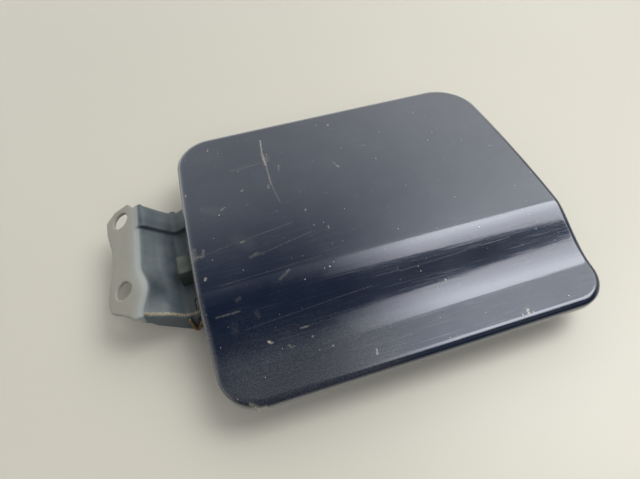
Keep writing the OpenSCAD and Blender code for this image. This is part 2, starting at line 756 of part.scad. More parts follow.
// The striker: a pressed bracket on the inner panel, and the wire loop that the lock's pin enters
module striker_bracket() {
    half = loop_w / 2 + loop_r + loop_side + striker_t;
    top = -field_d;
    low = top - striker_h;
    color("slategray") difference() {
        translate([striker_x - striker_len / 2, striker_y, 0]) rotate([90, 0, 90]) linear_extrude(striker_len)
            polygon(rounded(
                [
                    [-half - foot_w, top], [-half + striker_t, top],
                    [-half + striker_t, low + striker_t], [half - striker_t, low + striker_t],
                    [half - striker_t, top], [half + foot_w, top],
                    [half + foot_w, top - striker_t], [half, top - striker_t], [half, low],
                    [-half, low], [-half, top - striker_t], [-half - foot_w, top - striker_t],
                ],
                [0, striker_t, 0.5, 0.5, striker_t, 0, 0, 0.5, 2, 2, 0.5, 0]
            ));
        for (s = [-1, 1])
            post(striker_x, striker_y + s * loop_w / 2, low - 1, low + striker_t + 1, loop_r + 0.05);
    }
}
module striker_loop() {
    leg_top = -field_d - striker_h + striker_t + 1.5;
    bend = 2 * loop_r;
    low = table_z + loop_r;
    half = loop_w / 2;
    color("silver") translate([striker_x, striker_y, 0]) {
        for (s = [-1, 1]) {
            post(0, s * half, low + bend, leg_top, loop_r);
            translate([0, s * (half - bend), low + bend]) rotate([0, 90, 0]) rotate([0, 0, s > 0 ? 0 : -90])
                rotate_extrude(angle = 90) translate([bend, 0]) circle(loop_r);
        }
        rod_y(0, low, -half + bend, half - bend, loop_r);
    }
}

// A rubber buffer: a tapered foot under the inner panel, a neck through it and a bead above it
module buffer(y) {
    hold = 0.1;
    color("black") translate([buffer_x, y, 0]) {
        rotate_extrude() polygon([
            [0, -field_d - buffer_h], [buffer_r - 1.5, -field_d - buffer_h],
            [buffer_r - 1, -field_d - buffer_h + 0.5], [buffer_r, -field_d - 0.8],
            [buffer_r, -field_d - hold], [neck_r, -field_d - hold],
            [neck_r, -field_d + inner_t + hold], [neck_r + 1, -field_d + inner_t + hold],
            [neck_r + 0.4, -field_d + inner_t + 1.6], [0, -field_d + inner_t + 1.6],
        ]);
    }
}
module back_buffer() {
    buffer(buffer_back_y);
}
module front_buffer() {
    buffer(buffer_front_y);
}

placed() outer_panel();
placed() inner_panel();
placed() hem_sealer();
placed() mastic_pad(1);  // mastic_pad_1
placed() mastic_pad(2);  // mastic_pad_2
placed() mastic_pad(3);  // mastic_pad_3
placed() mastic_pad(4);  // mastic_pad_4
placed() hinge_arm();
placed() base_bracket();
placed() hinge_pin();
placed() pin_clip();
placed() hinge_spring();
placed() stop_buffer();
placed() striker_bracket();
placed() striker_loop();
placed() back_buffer();
placed() front_buffer();
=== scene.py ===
"""Car fuel door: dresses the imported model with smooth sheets, painted and worn finishes, and a plain stage.

Lengths in the shape functions are millimetres from the middle of the door's skin, as in the part's source:
X to the right, Y to the back, Z up. They become metres in the model's own frame when a mesh is made.
"""
from functools import partial
from math import cos, pi, radians, sin
from types import SimpleNamespace

import bmesh
import bpy
import numpy as np
from bpy.props import FloatProperty, FloatVectorProperty, PointerProperty
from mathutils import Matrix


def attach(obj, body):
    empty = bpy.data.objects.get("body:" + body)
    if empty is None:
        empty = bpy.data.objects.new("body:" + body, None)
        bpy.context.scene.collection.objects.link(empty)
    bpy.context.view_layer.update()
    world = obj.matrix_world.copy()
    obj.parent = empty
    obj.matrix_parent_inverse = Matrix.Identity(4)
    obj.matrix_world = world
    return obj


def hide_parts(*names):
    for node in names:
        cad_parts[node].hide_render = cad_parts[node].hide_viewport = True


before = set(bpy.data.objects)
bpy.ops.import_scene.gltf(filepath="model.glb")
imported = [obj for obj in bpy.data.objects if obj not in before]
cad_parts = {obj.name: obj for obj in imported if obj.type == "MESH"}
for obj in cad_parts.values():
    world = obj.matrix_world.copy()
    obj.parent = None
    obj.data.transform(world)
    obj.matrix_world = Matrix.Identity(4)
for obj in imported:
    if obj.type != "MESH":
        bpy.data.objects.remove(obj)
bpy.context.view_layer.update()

bl_info = {
    "name": "Car Fuel Door",
    "version": (1, 0, 0),
    "blender": (4, 5, 0),
    "location": "View3D > Sidebar > Fuel Door",
    "description": "Builds the visible surfaces, finishes and stage of a car's fuel door with its hinge",
    "category": "Add Mesh",
}

MM = 0.001
# The middle of the door's skin in the model's frame
SKIN_MIDDLE = np.array([19.2398, 0.2, 30.0])


# Colours and sizes

def linear(code):
    """Linear colour with full opacity of an sRGB hex code."""
    parts = [int(code[k:k + 2], 16) / 255 for k in (0, 2, 4)]
    return [p / 12.92 if p <= 0.04045 else ((p + 0.055) / 1.055) ** 2.4 for p in parts] + [1.0]


def length(name, default, text):
    """A length property, with its default in millimetres."""
    return FloatProperty(name=name, description=text, default=default * MM, unit="LENGTH", precision=5)


def colour(name, code, text):
    """A colour property, with its default as an sRGB hex code."""
    return FloatVectorProperty(
        name=name, description=text, default=linear(code), size=4, subtype="COLOR", min=0, max=1
    )


def level(name, default, text):
    """A radiance, or any other plain number that can't be negative."""
    return FloatProperty(name=name, description=text, default=default, min=0)


def in_mm(group):
    """The values of a property group, with its lengths in millimetres."""
    values = {}
    for key, prop in group.bl_rna.properties.items():
        if prop.type == "FLOAT":
            value = getattr(group, key)
            values[key] = value / MM if prop.unit == "LENGTH" else value
    return SimpleNamespace(**values)


class FuelDoorPanelSizes(bpy.types.PropertyGroup):
    """Sizes of the door's two pressed sheets."""
    width: length("Width", 170, "Nominal width of the door")
    depth: length("Depth", 147, "Nominal depth of the door, front to back")
    back_right: length("Back right corner", 20.5, "Corner radius, back right")
    back_left: length("Back left corner", 18, "Corner radius, back left")
    front_left: length("Front left corner", 17.5, "Corner radius, front left")
    front_right: length("Front right corner", 15.5, "Corner radius, front right")
    bow_right: length("Right bow", 2.2, "How much the right edge bows outwards")
    bow_left: length("Left bow", 1.8, "How much the left edge bows outwards")
    bow_front: length("Front bow", 0.4, "How much the front edge bows outwards")
    narrowing: length("Narrowing", 6.5, "How much narrower the back edge is than the front edge")
    lean: length("Lean", 1.2, "How far the back edge leans to the left of the front edge")
    step_y: length("Step place", -40.1, "Middle of the pressed step")
    step_width: length("Step width", 34.8, "Width of the pressed step, front to back")
    step_drop: length("Step drop", 9.4, "How far the front band lies below the rest")
    crown_y: length("Long crown", 1.6, "Rise of the crown, front to back")
    crown_x: length("Cross crown", 0.2, "Rise of the crown, side to side")
    front_lift: length("Front lift", 0.39, "How far the front edge is lifted past the step")
    rim_height: length("Rim height", 6, "Height of the folded rim")
    rim_radius: length("Rim radius", 2.5, "Height over which the skin turns down into the rim")
    rim_ease: length("Rim ease", 3.4, "Width over which the skin turns down into the rim")
    hem_width: length("Hem width", 8, "Width of the hem that is folded under")
    hem_radius: length("Hem radius", 1.2, "Radius of the hem's fold")
    sheet: length("Sheet", 0.8, "Thickness of both sheets")
    field_drop: length("Field drop", 4.6, "Depth of the inner panel's lower face below the skin")
    flange: length("Flange", 10, "Width of the inner panel's flange inside the hem")
    ramp: length("Ramp", 4, "Width of the ramp between flange and field")
    drain: length("Drain hole", 4, "Radius of the paint drain holes")


class FuelDoorHingeSizes(bpy.types.PropertyGroup):
    """Sizes of the hinge's pin, spring and stop."""
    pin_x: length("Pin across", -74, "Place of the pin, side to side")
    pin_z: length("Pin height", -12.1, "Place of the pin, below the skin")
    pin_radius: length("Pin radius", 3, "Radius of the hinge pin")
    head_radius: length("Head radius", 4.6, "Radius of the pin's head")
    head: length("Head", 1.8, "Thickness of the pin's head")
    base_front: length("Front ear", -22.8, "Place of the base's front face")
    base_back: length("Back ear", 39.2, "Place of the base's back face")
    base_sheet: length("Base sheet", 2, "Thickness of the base's sheet")
    wire: length("Wire", 1.6, "Diameter of the spring's wire")
    coil: length("Coil radius", 4.6, "Mean radius of the spring's coil")
    pitch: length("Coil pitch", 2, "Distance between turns of the coil")
    drain_x: length("Drain across", 20, "Half the distance between the back drain holes")
    drain_y: length("Drain place", 52, "Place of the back drain holes")
    buffer_x: length("Buffer across", 63, "Place of the rubber buffers, side to side")
    buffer_back: length("Back buffer", 46, "Place of the back buffer")
    buffer_step: length("Front buffer", 5.3, "Distance of the front buffer behind the step")


class FuelDoorColours(bpy.types.PropertyGroup):
    """Colours of the paints, metals and rubbers."""
    door_paint: colour("Door paint", "11203A", "Gloss navy paint of the outer panel")
    chip: colour("Chip", "CFC8B4", "Filler and bare metal where the paint is chipped")
    primer: colour("Inner paint", "3A4250", "Thin dull paint inside the door and on its arm")
    base_paint: colour("Base paint", "434F58", "Satin blue-grey paint of the hinge's base")
    base_dust: colour("Base dust", "A09D94", "Pale dust and wear on the hinge's base")
    plated: colour("Plated steel", "9D9A90", "Dull zinc plating of pin, clip and striker loop")
    rust: colour("Rust", "8A5A33", "Rust on the spring's wire")
    rubber: colour("Rubber", "1B1B1B", "Black rubber of the buffers")
    stop: colour("Stop rubber", "373F3C", "Dusty grey-green rubber of the stop")
    sealer: colour("Sealer", "3B414B", "Painted-over sealer at the hem")
    mastic: colour("Mastic", "33352F", "Mastic pads between the sheets")
    floor: colour("Floor", "CAC7BE", "Pale matt table")


class FuelDoorStage(bpy.types.PropertyGroup):
    """Camera, lamps and floor."""
    lens: level("Lens", 26.675, "Focal length on a 36 mm wide sensor, in millimetres")
    box_light: level("Soft box", 4.6, "Radiance of the soft box overhead")
    wall_light: level("Wall", 1.0, "Radiance of the pale wall behind")
    side_light: level("Side", 3.0, "Radiance of the bright side to the right")
    left_light: level("Left", 0.42, "Radiance of the pale wall to the left")
    fill_light: level("Fill", 1.7, "Radiance of the fill lamp in front")
    low_light: level("Low", 0.6, "Radiance of the room near the table's level")
    room_light: level("Room", 0.06, "Radiance of the rest of the room")


# Meshes

def mesh_object(name, points, faces, smooth_angle=40):
    """A mesh object of one piece: points in millimetres from the skin's middle, faces all of four or all
    of three corners."""
    mesh = bpy.data.meshes.new(name)
    corners = faces.shape[1]
    mesh.vertices.add(len(points))
    mesh.vertices.foreach_set("co", ((points + SKIN_MIDDLE) * MM).astype(np.float32).ravel())
    mesh.loops.add(faces.size)
    mesh.loops.foreach_set("vertex_index", faces.astype(np.int32).ravel())
    mesh.polygons.add(len(faces))
    mesh.polygons.foreach_set("loop_start", np.arange(0, faces.size, corners, dtype=np.int32))
    mesh.update(calc_edges=True)
    return finished_object(name, mesh, smooth_angle)


def finished_object(name, mesh, smooth_angle=40):
    """Links a mesh as an object at the origin, shaded smooth except over folds sharper than the angle."""
    mesh.polygons.foreach_set("use_smooth", np.ones(len(mesh.polygons), bool))
    mesh.set_sharp_from_angle(angle=radians(smooth_angle))
    piece = bpy.data.objects.new(name, mesh)
    bpy.context.scene.collection.objects.link(piece)
    return piece


def coat(piece, material):
    """Gives a piece one material."""
    piece.data.materials.clear()
    piece.data.materials.append(material)


def dress(piece, node, body, material):
    """Puts a piece in the place of a node: it rides on the node's body and takes the given material."""
    coat(piece, material)
    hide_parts(node)
    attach(piece, body)


def grid_quads(rows, columns, start=0):
    """Four-cornered faces of a grid of points that has rows by columns cells, facing up when Y grows with
    the row."""
    ids = start + np.arange((rows + 1) * (columns + 1)).reshape(rows + 1, columns + 1)
    return np.stack([ids[:-1, :-1], ids[:-1, 1:], ids[1:, 1:], ids[1:, :-1]], axis=-1).reshape(-1, 4)


def ring_quads(upper, lower):
    """Faces between two rings of point numbers, facing away from the middle when the rings run
    anticlockwise."""
    return np.stack([upper, lower, np.roll(lower, -1), np.roll(upper, -1)], axis=-1)


def capped_rings(name, rings, ends, smooth_angle=40):
    """A closed piece: rings of points, each joined to the next, and a fan from the first and last ring to
    an end point."""
    count, steps = rings.shape[:2]
    ids = np.arange(count * steps).reshape(count, steps)
    quads = np.concatenate([ring_quads(ids[k + 1], ids[k]) for k in range(count - 1)])
    first, last = count * steps + np.arange(2)
    start_fan = np.stack([np.full(steps, first), np.roll(ids[0], -1), ids[0]], axis=-1)
    end_fan = np.stack([np.full(steps, last), ids[-1], np.roll(ids[-1], -1)], axis=-1)
    tris = np.concatenate([quads[:, [0, 1, 2]], quads[:, [0, 2, 3]], start_fan, end_fan])
    return mesh_object(name, np.concatenate([rings.reshape(-1, 3), ends]), tris, smooth_angle)


def lathe(name, profile, centre, axis, steps=48):
    """Turns a profile of (radius, height) pairs round an axis: the point at angle a is centre + axis
    height + radius times (cos a, sin a) in the two directions across the axis. The profile starts and
    ends on the axis."""
    axis = np.array(axis, float)
    side = np.cross(axis, [0.0, 0.0, 1.0] if abs(axis[2]) < 0.9 else [0.0, 1.0, 0.0])
    side /= np.linalg.norm(side)
    other = np.cross(axis, side)
    angle = np.linspace(0, 2 * pi, steps, endpoint=False)
    profile = np.array(profile, float)
    inner = profile[1:-1]
    around = np.cos(angle)[:, None] * side + np.sin(angle)[:, None] * other
    rings = np.array(centre) + inner[:, None, 1:] * axis + inner[:, None, :1] * around
    return capped_rings(name, rings, np.array(centre) + profile[[0, -1], 1:] * axis)


def tube(name, path, radius, sides=20, reference=(0.6, 0.8, 0.0)):
    """A round wire: a circle of the radius carried along the path, square to it, with the two cross
    directions taken from the cross products of the path's direction with one fixed direction. Domed ends
    close it."""
    path = np.asarray(path, float)
    along = np.gradient(path, axis=0)
    along /= np.linalg.norm(along, axis=1, keepdims=True)
    dome = np.radians([80, 55, 30])
    head = path[0] - along[0] * radius * np.sin(dome)[:, None] * 0.6
    tail = path[-1] + along[-1] * radius * np.sin(dome)[::-1, None] * 0.6
    radii = np.concatenate([np.cos(dome), np.ones(len(path)), np.cos(dome)[::-1]]) * radius
    centres = np.concatenate([head, path, tail])
    along = np.concatenate([np.repeat(along[:1], 3, 0), along, np.repeat(along[-1:], 3, 0)])
    side = np.cross(along, np.array(reference))
    side /= np.linalg.norm(side, axis=1, keepdims=True)
    other = np.cross(along, side)
    angle = np.linspace(0, 2 * pi, sides, endpoint=False)
    turned = np.cos(angle)[None, :, None] * side[:, None] + np.sin(angle)[None, :, None] * other[:, None]
    return capped_rings(name, centres[:, None] + turned * radii[:, None, None], centres[[0, -1]], 60)


def smooth_path(points, steps):
    """A smooth curve through the points, with steps places between each two: between b and c with
    neighbours a and d it is the cubic whose slopes at b and c are (c - a) / 2 and (d - b) / 2."""
    p = np.asarray(points, float)
    p = np.concatenate([[2 * p[0] - p[1]], p, [2 * p[-1] - p[-2]]])
    a, b, c, d = (p[k:len(p) - 3 + k, None] for k in range(4))
    t = np.linspace(0, 1, steps, endpoint=False)[None, :, None]
    curve = 0.5 * (
        2 * b + (c - a) * t + (2 * a - 5 * b + 4 * c - d) * t ** 2 + (3 * b - a - 3 * c + d) * t ** 3
    )
    return np.concatenate([curve.reshape(-1, 3), p[-2:-1]])


def softened_copy(name, node, voxel, rounds):
    """A copy of a solid with its edges rounded as paint and pressing round them: it is meshed again in
    even cells and smoothed a few times. Returns the object; the solid itself isn't touched."""
    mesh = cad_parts[node].data.copy()
    work = bmesh.new()
    work.from_mesh(mesh)
    bmesh.ops.remove_doubles(work, verts=work.verts, dist=0.002 * MM)
    work.to_mesh(mesh)
    work.free()
    source = bpy.data.objects.new(name + "_source", mesh)
    bpy.context.scene.collection.objects.link(source)
    remesh = source.modifiers.new("Even cells", "REMESH")
    remesh.mode = "VOXEL"
    remesh.voxel_size = voxel * MM
    relax = source.modifiers.new("Soft edges", "SMOOTH")
    relax.factor = 0.5
    relax.iterations = rounds
    graph = bpy.context.evaluated_depsgraph_get()
    soft = bpy.data.meshes.new_from_object(source.evaluated_get(graph))
    soft.name = name
    bpy.data.objects.remove(source)
    return finished_object(name, soft, 70)


def points_of(mesh):
    """The points of a mesh, in millimetres from the skin's middle."""
    flat = np.empty(len(mesh.vertices) * 3, np.float32)
    mesh.vertices.foreach_get("co", flat)
    return flat.reshape(-1, 3).astype(float) / MM - SKIN_MIDDLE


def set_points(mesh, points):
    """Moves the points of a mesh to places in millimetres from the skin's middle."""
    mesh.vertices.foreach_set("co", ((points + SKIN_MIDDLE) * MM).astype(np.float32).ravel())
    mesh.update()


# The door's two pressed sheets

def smooth_step(t):
    """0 below 0, 1 above 1, and 3 t^2 - 2 t^3 between."""
    t = np.clip(t, 0, 1)
    return t * t * (3 - 2 * t)


# Width over which the front band's rise sets in, in millimetres
LIFT_EASE = 16
# The step's profile is a little steeper towards the back: its share of the width is raised to this power
STEP_BIAS = 0.863


def skin_height(size, x, y, crown=1.0):
    """Height of the skin's upper face: the pressed step, and a crown that falls with the square of x and
    y. Down the step the crown's slope dies out evenly, and past its end the front band rises a little,
    from a parabola into a straight line."""
    flat = size.step_y + size.step_width / 2
    down = np.clip((flat - y) / size.step_width, 0, 1)
    step = -size.step_drop * smooth_step(down ** STEP_BIAS)
    fall = (2 * np.maximum(y, flat) / size.depth) ** 2
    fall = fall - 8 * flat * size.step_width / size.depth ** 2 * (down - down ** 2 / 2)
    past = np.maximum(size.step_y - size.step_width / 2 + LIFT_EASE / 2 - y, 0)
    rise = np.where(past < LIFT_EASE, past ** 2 / (2 * LIFT_EASE), past - LIFT_EASE / 2)
    edge = size.depth / 2 + size.step_y - size.step_width / 2
    step = step + size.front_lift * rise / edge
    return step - crown * (size.crown_y * fall + size.crown_x * (2 * x / size.width) ** 2)


CORNER_ROWS = 18
STEP_ROWS = 72
BACK_ROWS = 44


def plan_rows(size, inset):
    """Rows of a sheet from front to back: close together in the corners, evenly spaced over the step and
    behind it."""
    half = size.depth / 2
    front = max(size.front_left, size.front_right)
    back = max(size.back_left, size.back_right)
    flat = size.step_y + size.step_width / 2
    turn = np.linspace(0, pi / 2, CORNER_ROWS + 1)
    near = -half + inset + max(front - inset, 0.5) * (1 - np.cos(turn))
    middle = np.linspace(near[-1], flat, STEP_ROWS + 1)[1:]
    far_start = half - max(back, inset + 0.5)
    behind = np.linspace(flat, far_start, BACK_ROWS + 1)[1:]
    far = half - inset - max(back - inset, 0.5) * (1 - np.sin(turn[1:]))
    return np.concatenate([near, middle, behind, far])


def side_reach(size, inset, y, front, back):
    """Half width of the nominal outline at each row, less the inset: straight sides that turn into
    quarter circles."""
    radius = np.maximum(np.where(y < 0, front, back) - inset, 0.5)
    rise = np.maximum(np.abs(y) - (size.depth / 2 - inset - radius), 0)
    return size.width / 2 - inset - radius + np.sqrt(np.maximum(radius ** 2 - rise ** 2, 0))


def plan_points(size, inset, columns):
    """Places of all columns and rows of a sheet at an inset, with the outline's taper, lean and bowed
    edges."""
    rows = plan_rows(size, inset)[:, None]
    left = -side_reach(size, inset, rows, size.front_left, size.back_left)
    right = side_reach(size, inset, rows, size.front_right, size.back_right)
    across = np.linspace(0, 1, columns + 1)[None]
    x = left + (right - left) * across
    y = rows + 0 * x
    bow = np.where(x > 0, size.bow_right, -size.bow_left) * (1 - (2 * y / size.depth) ** 2)
    along = np.where(y < 0, size.bow_front, 0) * (1 - (2 * x / size.width) ** 2)
    return (
        x * (1 - size.narrowing / size.width * y / size.depth) - size.lean * y / size.depth
        + bow * np.abs(2 * x / size.width),
        y - along * np.abs(2 * y / size.depth),
    )


def border(grid):
    """The outer entries of a grid, anticlockwise: front, right, back, left."""
    return np.concatenate([grid[0, :-1], grid[:-1, -1], grid[-1, :0:-1], grid[:0:-1, 0]])


def sheet_points(size, inset, drop, crown, columns):
    """A grid of points over the plan at an inset, a drop below the skin, with a share of its crown."""
    x, y = plan_points(size, inset, columns)
    return np.stack([x, y, skin_height(size, x, y, crown) - drop], axis=-1)


def pressed_sheet(size, upper, rings, lower, columns=120):
    """Points and faces of a closed pressed sheet: its upper face, then rings round its edge, each an
    inset and a drop from the skin, then its lower face."""
    top = sheet_points(size, *upper, columns)
    under = sheet_points(size, *lower, columns)
    rows = top.shape[0] - 1
    face_count = top.shape[0] * top.shape[1]
    edge = border(np.arange(face_count).reshape(top.shape[:2]))
    loops = [border(sheet_points(size, *ring, columns)) for ring in rings]
    starts = face_count + len(edge) * np.arange(len(loops) + 1)
    ids = [edge] + [start + np.arange(len(edge)) for start in starts[:-1]] + [edge + starts[-1]]
    points = np.concatenate([top.reshape(-1, 3), *loops, under.reshape(-1, 3)])
    bands = [ring_quads(ids[k], ids[k + 1]) for k in range(len(ids) - 1)]
    faces = [grid_quads(rows, columns), *bands, grid_quads(rows, columns, starts[-1])[:, ::-1]]
    return points, np.concatenate(faces)


# The hem's cut edge is bevelled by this width and height
HEM_BEVEL = (0.3, 0.25)


def outer_panel_piece(size):
    """The outer panel: the crowned and stepped skin, a rim that turns down along a quarter of an ellipse,
    and the hem folded under the inner panel."""
    turn = np.radians(np.linspace(6, 90, 15))
    fold = np.radians(np.linspace(0, 90, 7))
    bend = size.rim_radius - size.sheet
    rings = [(size.rim_ease * (1 - sin(a)), size.rim_radius * (1 - cos(a)), 1) for a in turn]
    rim, hem = size.rim_height, size.hem_radius
    rings += [(hem * (1 - cos(a)), rim - hem * (1 - sin(a)), 1) for a in fold]
    rings += [
        (size.hem_width - HEM_BEVEL[0], rim, 1), (size.hem_width, rim - HEM_BEVEL[1], 1),
        (size.hem_width, rim - size.sheet, 1), (hem, rim - size.sheet, 1), (size.sheet, rim - hem, 1),
    ]
    rings += [(size.sheet + bend * (1 - sin(a)), size.sheet + bend * (1 - cos(a)), 1) for a in turn[::-2]]
    points, faces = pressed_sheet(size, (size.rim_ease, 0, 1), rings, (size.rim_radius, size.sheet, 1))
    return mesh_object("outer_panel_skin", points, faces)


# Room for the inner panel's flange in the hem, below it and at its edge
CLAMP_ROOM, EDGE_ROOM = 0.05, 0.3
# Radius of the two holes that hold the buffers
BUFFER_HOLE = 3.4
# How far a cutter reaches past the field on each side
CUT_REACH = 3


def clamp_drop(size):
    """How far the inner panel's lower face lies below the skin, in the hem."""
    return size.rim_height - size.sheet - CLAMP_ROOM


def inner_panel_piece(size, hinge):
    """The inner panel: a flange inside the hem, an eased ramp and a flat field, with drain and buffer
    holes cut through. On the ramp, at a share t of its width, the drop goes from the field's to the
    flange's by 3 t^2 - 2 t^3."""
    clamp = clamp_drop(size)
    edge = max(size.sheet, size.hem_radius) + EDGE_ROOM
    field = size.flange + size.ramp
    ramp = []
    for t in np.linspace(0, 1, 7)[1:]:
        share = smooth_step(t)
        ramp.append((field - size.ramp * t, size.field_drop * (1 - share) + clamp * share, share))
    above = [(inset, drop - size.sheet, crown) for inset, drop, crown in ramp]
    rings = above + [(edge, clamp - size.sheet, 1), (edge, clamp, 1)] + ramp[::-1]
    points, faces = pressed_sheet(
        size, (field, size.field_drop - size.sheet, 0), rings, (field, size.field_drop, 0), columns=60
    )
    panel = mesh_object("inner_panel_sheet", points, faces)
    flat = size.step_y + size.step_width / 2
    front = flat + hinge.buffer_step
    holes = (
        (-hinge.drain_x, hinge.drain_y, size.drain), (hinge.drain_x, hinge.drain_y, size.drain),
        (0, front, size.drain), (hinge.buffer_x, hinge.buffer_back, BUFFER_HOLE),
        (hinge.buffer_x, front, BUFFER_HOLE),
    )
    for x, y, radius in holes:
        low, high = -size.field_drop - CUT_REACH, -size.field_drop + CUT_REACH
        profile = [(0, low), (radius, low), (radius, high), (0, high)]
        cutter = lathe("cutter", profile, (x, y, 0), (0, 0, 1), 40)
        cut = panel.modifiers.new("Hole", "BOOLEAN")
        cut.operation, cut.object, cut.solver = "DIFFERENCE", cutter, "EXACT"
        panel = applied(panel)
        bpy.data.objects.remove(cutter)
    return panel


def applied(piece):
    """The same piece with its modifiers worked into a plain mesh."""
    graph = bpy.context.evaluated_depsgraph_get()
    mesh = bpy.data.meshes.new_from_object(piece.evaluated_get(graph))
    name = piece.name
    bpy.data.objects.remove(piece)
    mesh.name = name
    return finished_object(name, mesh)


# The sealer's height, its room at each side, and its room below the inner panel
SEALER_HEIGHT, SEALER_SIDE, SEALER_ROOM = 0.8, 0.08, 0.02


def sealer_piece(size):
    """The bead of sealer on the hem's cut edge: half an ellipse carried round the door at the hem's inset.
    Its height swells and sinks by up to a quarter with a sum of three sines along the way, as a bead laid
    by hand does."""
    clamp, high = clamp_drop(size), SEALER_HEIGHT
    middle, half = (size.hem_width + size.flange) / 2, (size.flange - size.hem_width) / 2 - SEALER_SIDE
    turn = np.linspace(0, pi, 9)
    loops = []
    for a in turn:
        drop = clamp + SEALER_ROOM + high * sin(a)
        ring = border(sheet_points(size, middle + half * -cos(a), drop, 1, 120))
        along = np.arange(len(ring)) * 2 * pi / len(ring)
        swell = 0.12 * np.sin(17 * along) + 0.1 * np.sin(41 * along + 1) + 0.08 * np.sin(73 * along + 2)
        ring[:, 2] += high * sin(a) * (0.18 + swell * 0.8)
        loops.append(ring)
    count = len(loops[0])
    ids = np.arange(count * len(loops)).reshape(len(loops), count)
    bands = [ring_quads(ids[(k + 1) % len(loops)], ids[k]) for k in range(len(loops))]
    return mesh_object("hem_sealer_bead", np.concatenate(loops), np.concatenate(bands)[:, ::-1], 70)


# The hinge

FLANGE_SLOPE = radians(27)
# The base's crest, across and in height, and its front hole: the way down the flange from the crest, and
# along Y
CREST_X, CREST_Z = -108.6, -4.6
FRONT_HOLE = (10.7, -5.5)
# How far the pad round the front hole stands out, its spread in square millimetres, and the height of the
# sheet's waves
PAD_RISE, PAD_SPREAD, WAVE = 0.7, 70, 0.12
# How far the base's crest lies to the right of its straight line, in millimetres: at the back, at the
# front, and by a bell beside the front hole
CREST_BACK = 0.6
CREST_FRONT = -2.6
CREST_BELL = 2.8
CREST_BELL_Y = -9


def base_piece(hinge):
    """The hinge's base, pressed from sheet: a copy of the solid with soft bends. The pad round the front
    hole stands out by e to the minus squared distance over its spread, and the sheet is never quite flat:
    each point also moves by a slow product of sines. The crest runs a little aslant and bulges beside the
    front hole: its shift is a line in y plus a bell, and dies out with a bell of the distance from the
    crest."""
    base = softened_copy("hinge_base_sheet", "base_bracket", 0.36, 10)
    points = points_of(base.data)
    x, y, z = points.T
    out = (CREST_X - x) * cos(FLANGE_SLOPE) + (CREST_Z - z) * sin(FLANGE_SLOPE)
    from_hole = (out - FRONT_HOLE[0]) ** 2 + (y - FRONT_HOLE[1]) ** 2
    near_hole = np.exp(-from_hole / PAD_SPREAD) * (out > -2)
    lift = PAD_RISE * near_hole + WAVE * np.sin(x / 5) * np.sin(y / 9 + 1)
    along = (y - hinge.base_front) / (hinge.base_back - hinge.base_front)
    slant = CREST_FRONT + (CREST_BACK - CREST_FRONT) * along
    bell = np.exp(-((y - CREST_BELL_Y) / 8) ** 2)
    shift = (slant + CREST_BELL * bell) * np.exp(-((x - CREST_X) / 7) ** 2) * smooth_step((z + 14) / 4)
    move = np.stack(
        [shift - sin(FLANGE_SLOPE) * lift, 0 * lift, cos(FLANGE_SLOPE) * lift + 0.5 * shift], axis=-1
    )
    reach = np.clip((-96 - x) / 6, 0, 1)[:, None]
    set_points(base.data, points + move * reach)
    return base


# Places on the spring's path between two of its given points, and given points on its coil
PATH_STEPS, COIL_PLACES = 5, 57
# The hook's leg passes the ear here, from the pin, across and in height
LEG_PLACE = (-14.6, -9)
# Room between the front ear and what lies beside it, the arm's sheet, and the coil's room behind the lug
EAR_ROOM, ARM_SHEET, COIL_ROOM = 0.3, 2, 0.4
# The leg's quarter turn takes so many of the coil's places, at this share of the wire's thickness
QUARTER_PLACES, LEG_SHARE = 3, 0.985


def spring_pieces(hinge):
    """The torsion spring, one round wire: a leg under the arm, four turns round the pin, a leg through
    the front ear and the hook outside it. On the coil, the place at angle a is the pin plus the radius
    times (cos a, sin a), and it steps back by the pitch each turn. Returns the coil with the hook, which
    stay on the base, and the leg under the arm, which turns with the door and draws a quarter turn of the
    coil with it. The quarter turn is drawn a little thinner, so that it lies inside the coil when the
    door is open."""
    leg_x, leg_z = hinge.pin_x + LEG_PLACE[0], hinge.pin_z + LEG_PLACE[1]
    arm_front = hinge.base_front + hinge.base_sheet + EAR_ROOM
    coil_y = arm_front + ARM_SHEET + COIL_ROOM + hinge.wire / 2
    reach = np.hypot(leg_x - hinge.pin_x, leg_z - hinge.pin_z)
    slant = np.arctan((leg_z - hinge.pin_z) / (leg_x - hinge.pin_x))
    end = pi + slant - np.arccos(hinge.coil / reach)
    sweep = 8 * pi + end - pi / 2
    a = pi / 2 + sweep * np.linspace(0, 1, COIL_PLACES)
    back = coil_y + hinge.pitch * (sweep + pi / 2 - a) / (2 * pi)
    coil = np.stack(
        [hinge.pin_x + hinge.coil * np.cos(a), back, hinge.pin_z + hinge.coil * np.sin(a)], axis=-1
    )
    hook_y = hinge.base_front - hinge.wire / 2 - EAR_ROOM
    tip = [
        [leg_x + 1, coil_y, leg_z + 1.1], [leg_x, coil_y - 1, leg_z], [leg_x, hook_y + 0.9, leg_z],
        [leg_x - 0.48, hook_y, leg_z - 0.8], [leg_x - 2.6, hook_y, leg_z - 5.6],
        [leg_x - 3.36, hook_y, leg_z - 6.2], [leg_x - 4.03, hook_y, leg_z - 5.4],
        [leg_x - 4.8, hook_y, leg_z + 3.1],
    ]
    start = [[hinge.pin_x + 22, coil[0, 1], coil[0, 2]], [hinge.pin_x + 8, coil[0, 1], coil[0, 2]]]
    path = smooth_path(np.concatenate([start, coil, tip]), PATH_STEPS)
    turn_start = 2 * PATH_STEPS
    turn_end = turn_start + QUARTER_PLACES * PATH_STEPS
    wire = tube("hinge_spring_wire", path[turn_start:], hinge.wire / 2, 14)
    return wire, tube("hinge_spring_leg", path[:turn_end + 1], LEG_SHARE * hinge.wire / 2, 14)


# Room between the pin's head or clip and the ear, and the clip's sheet
PIN_ROOM, CLIP_SHEET = 0.1, 0.8


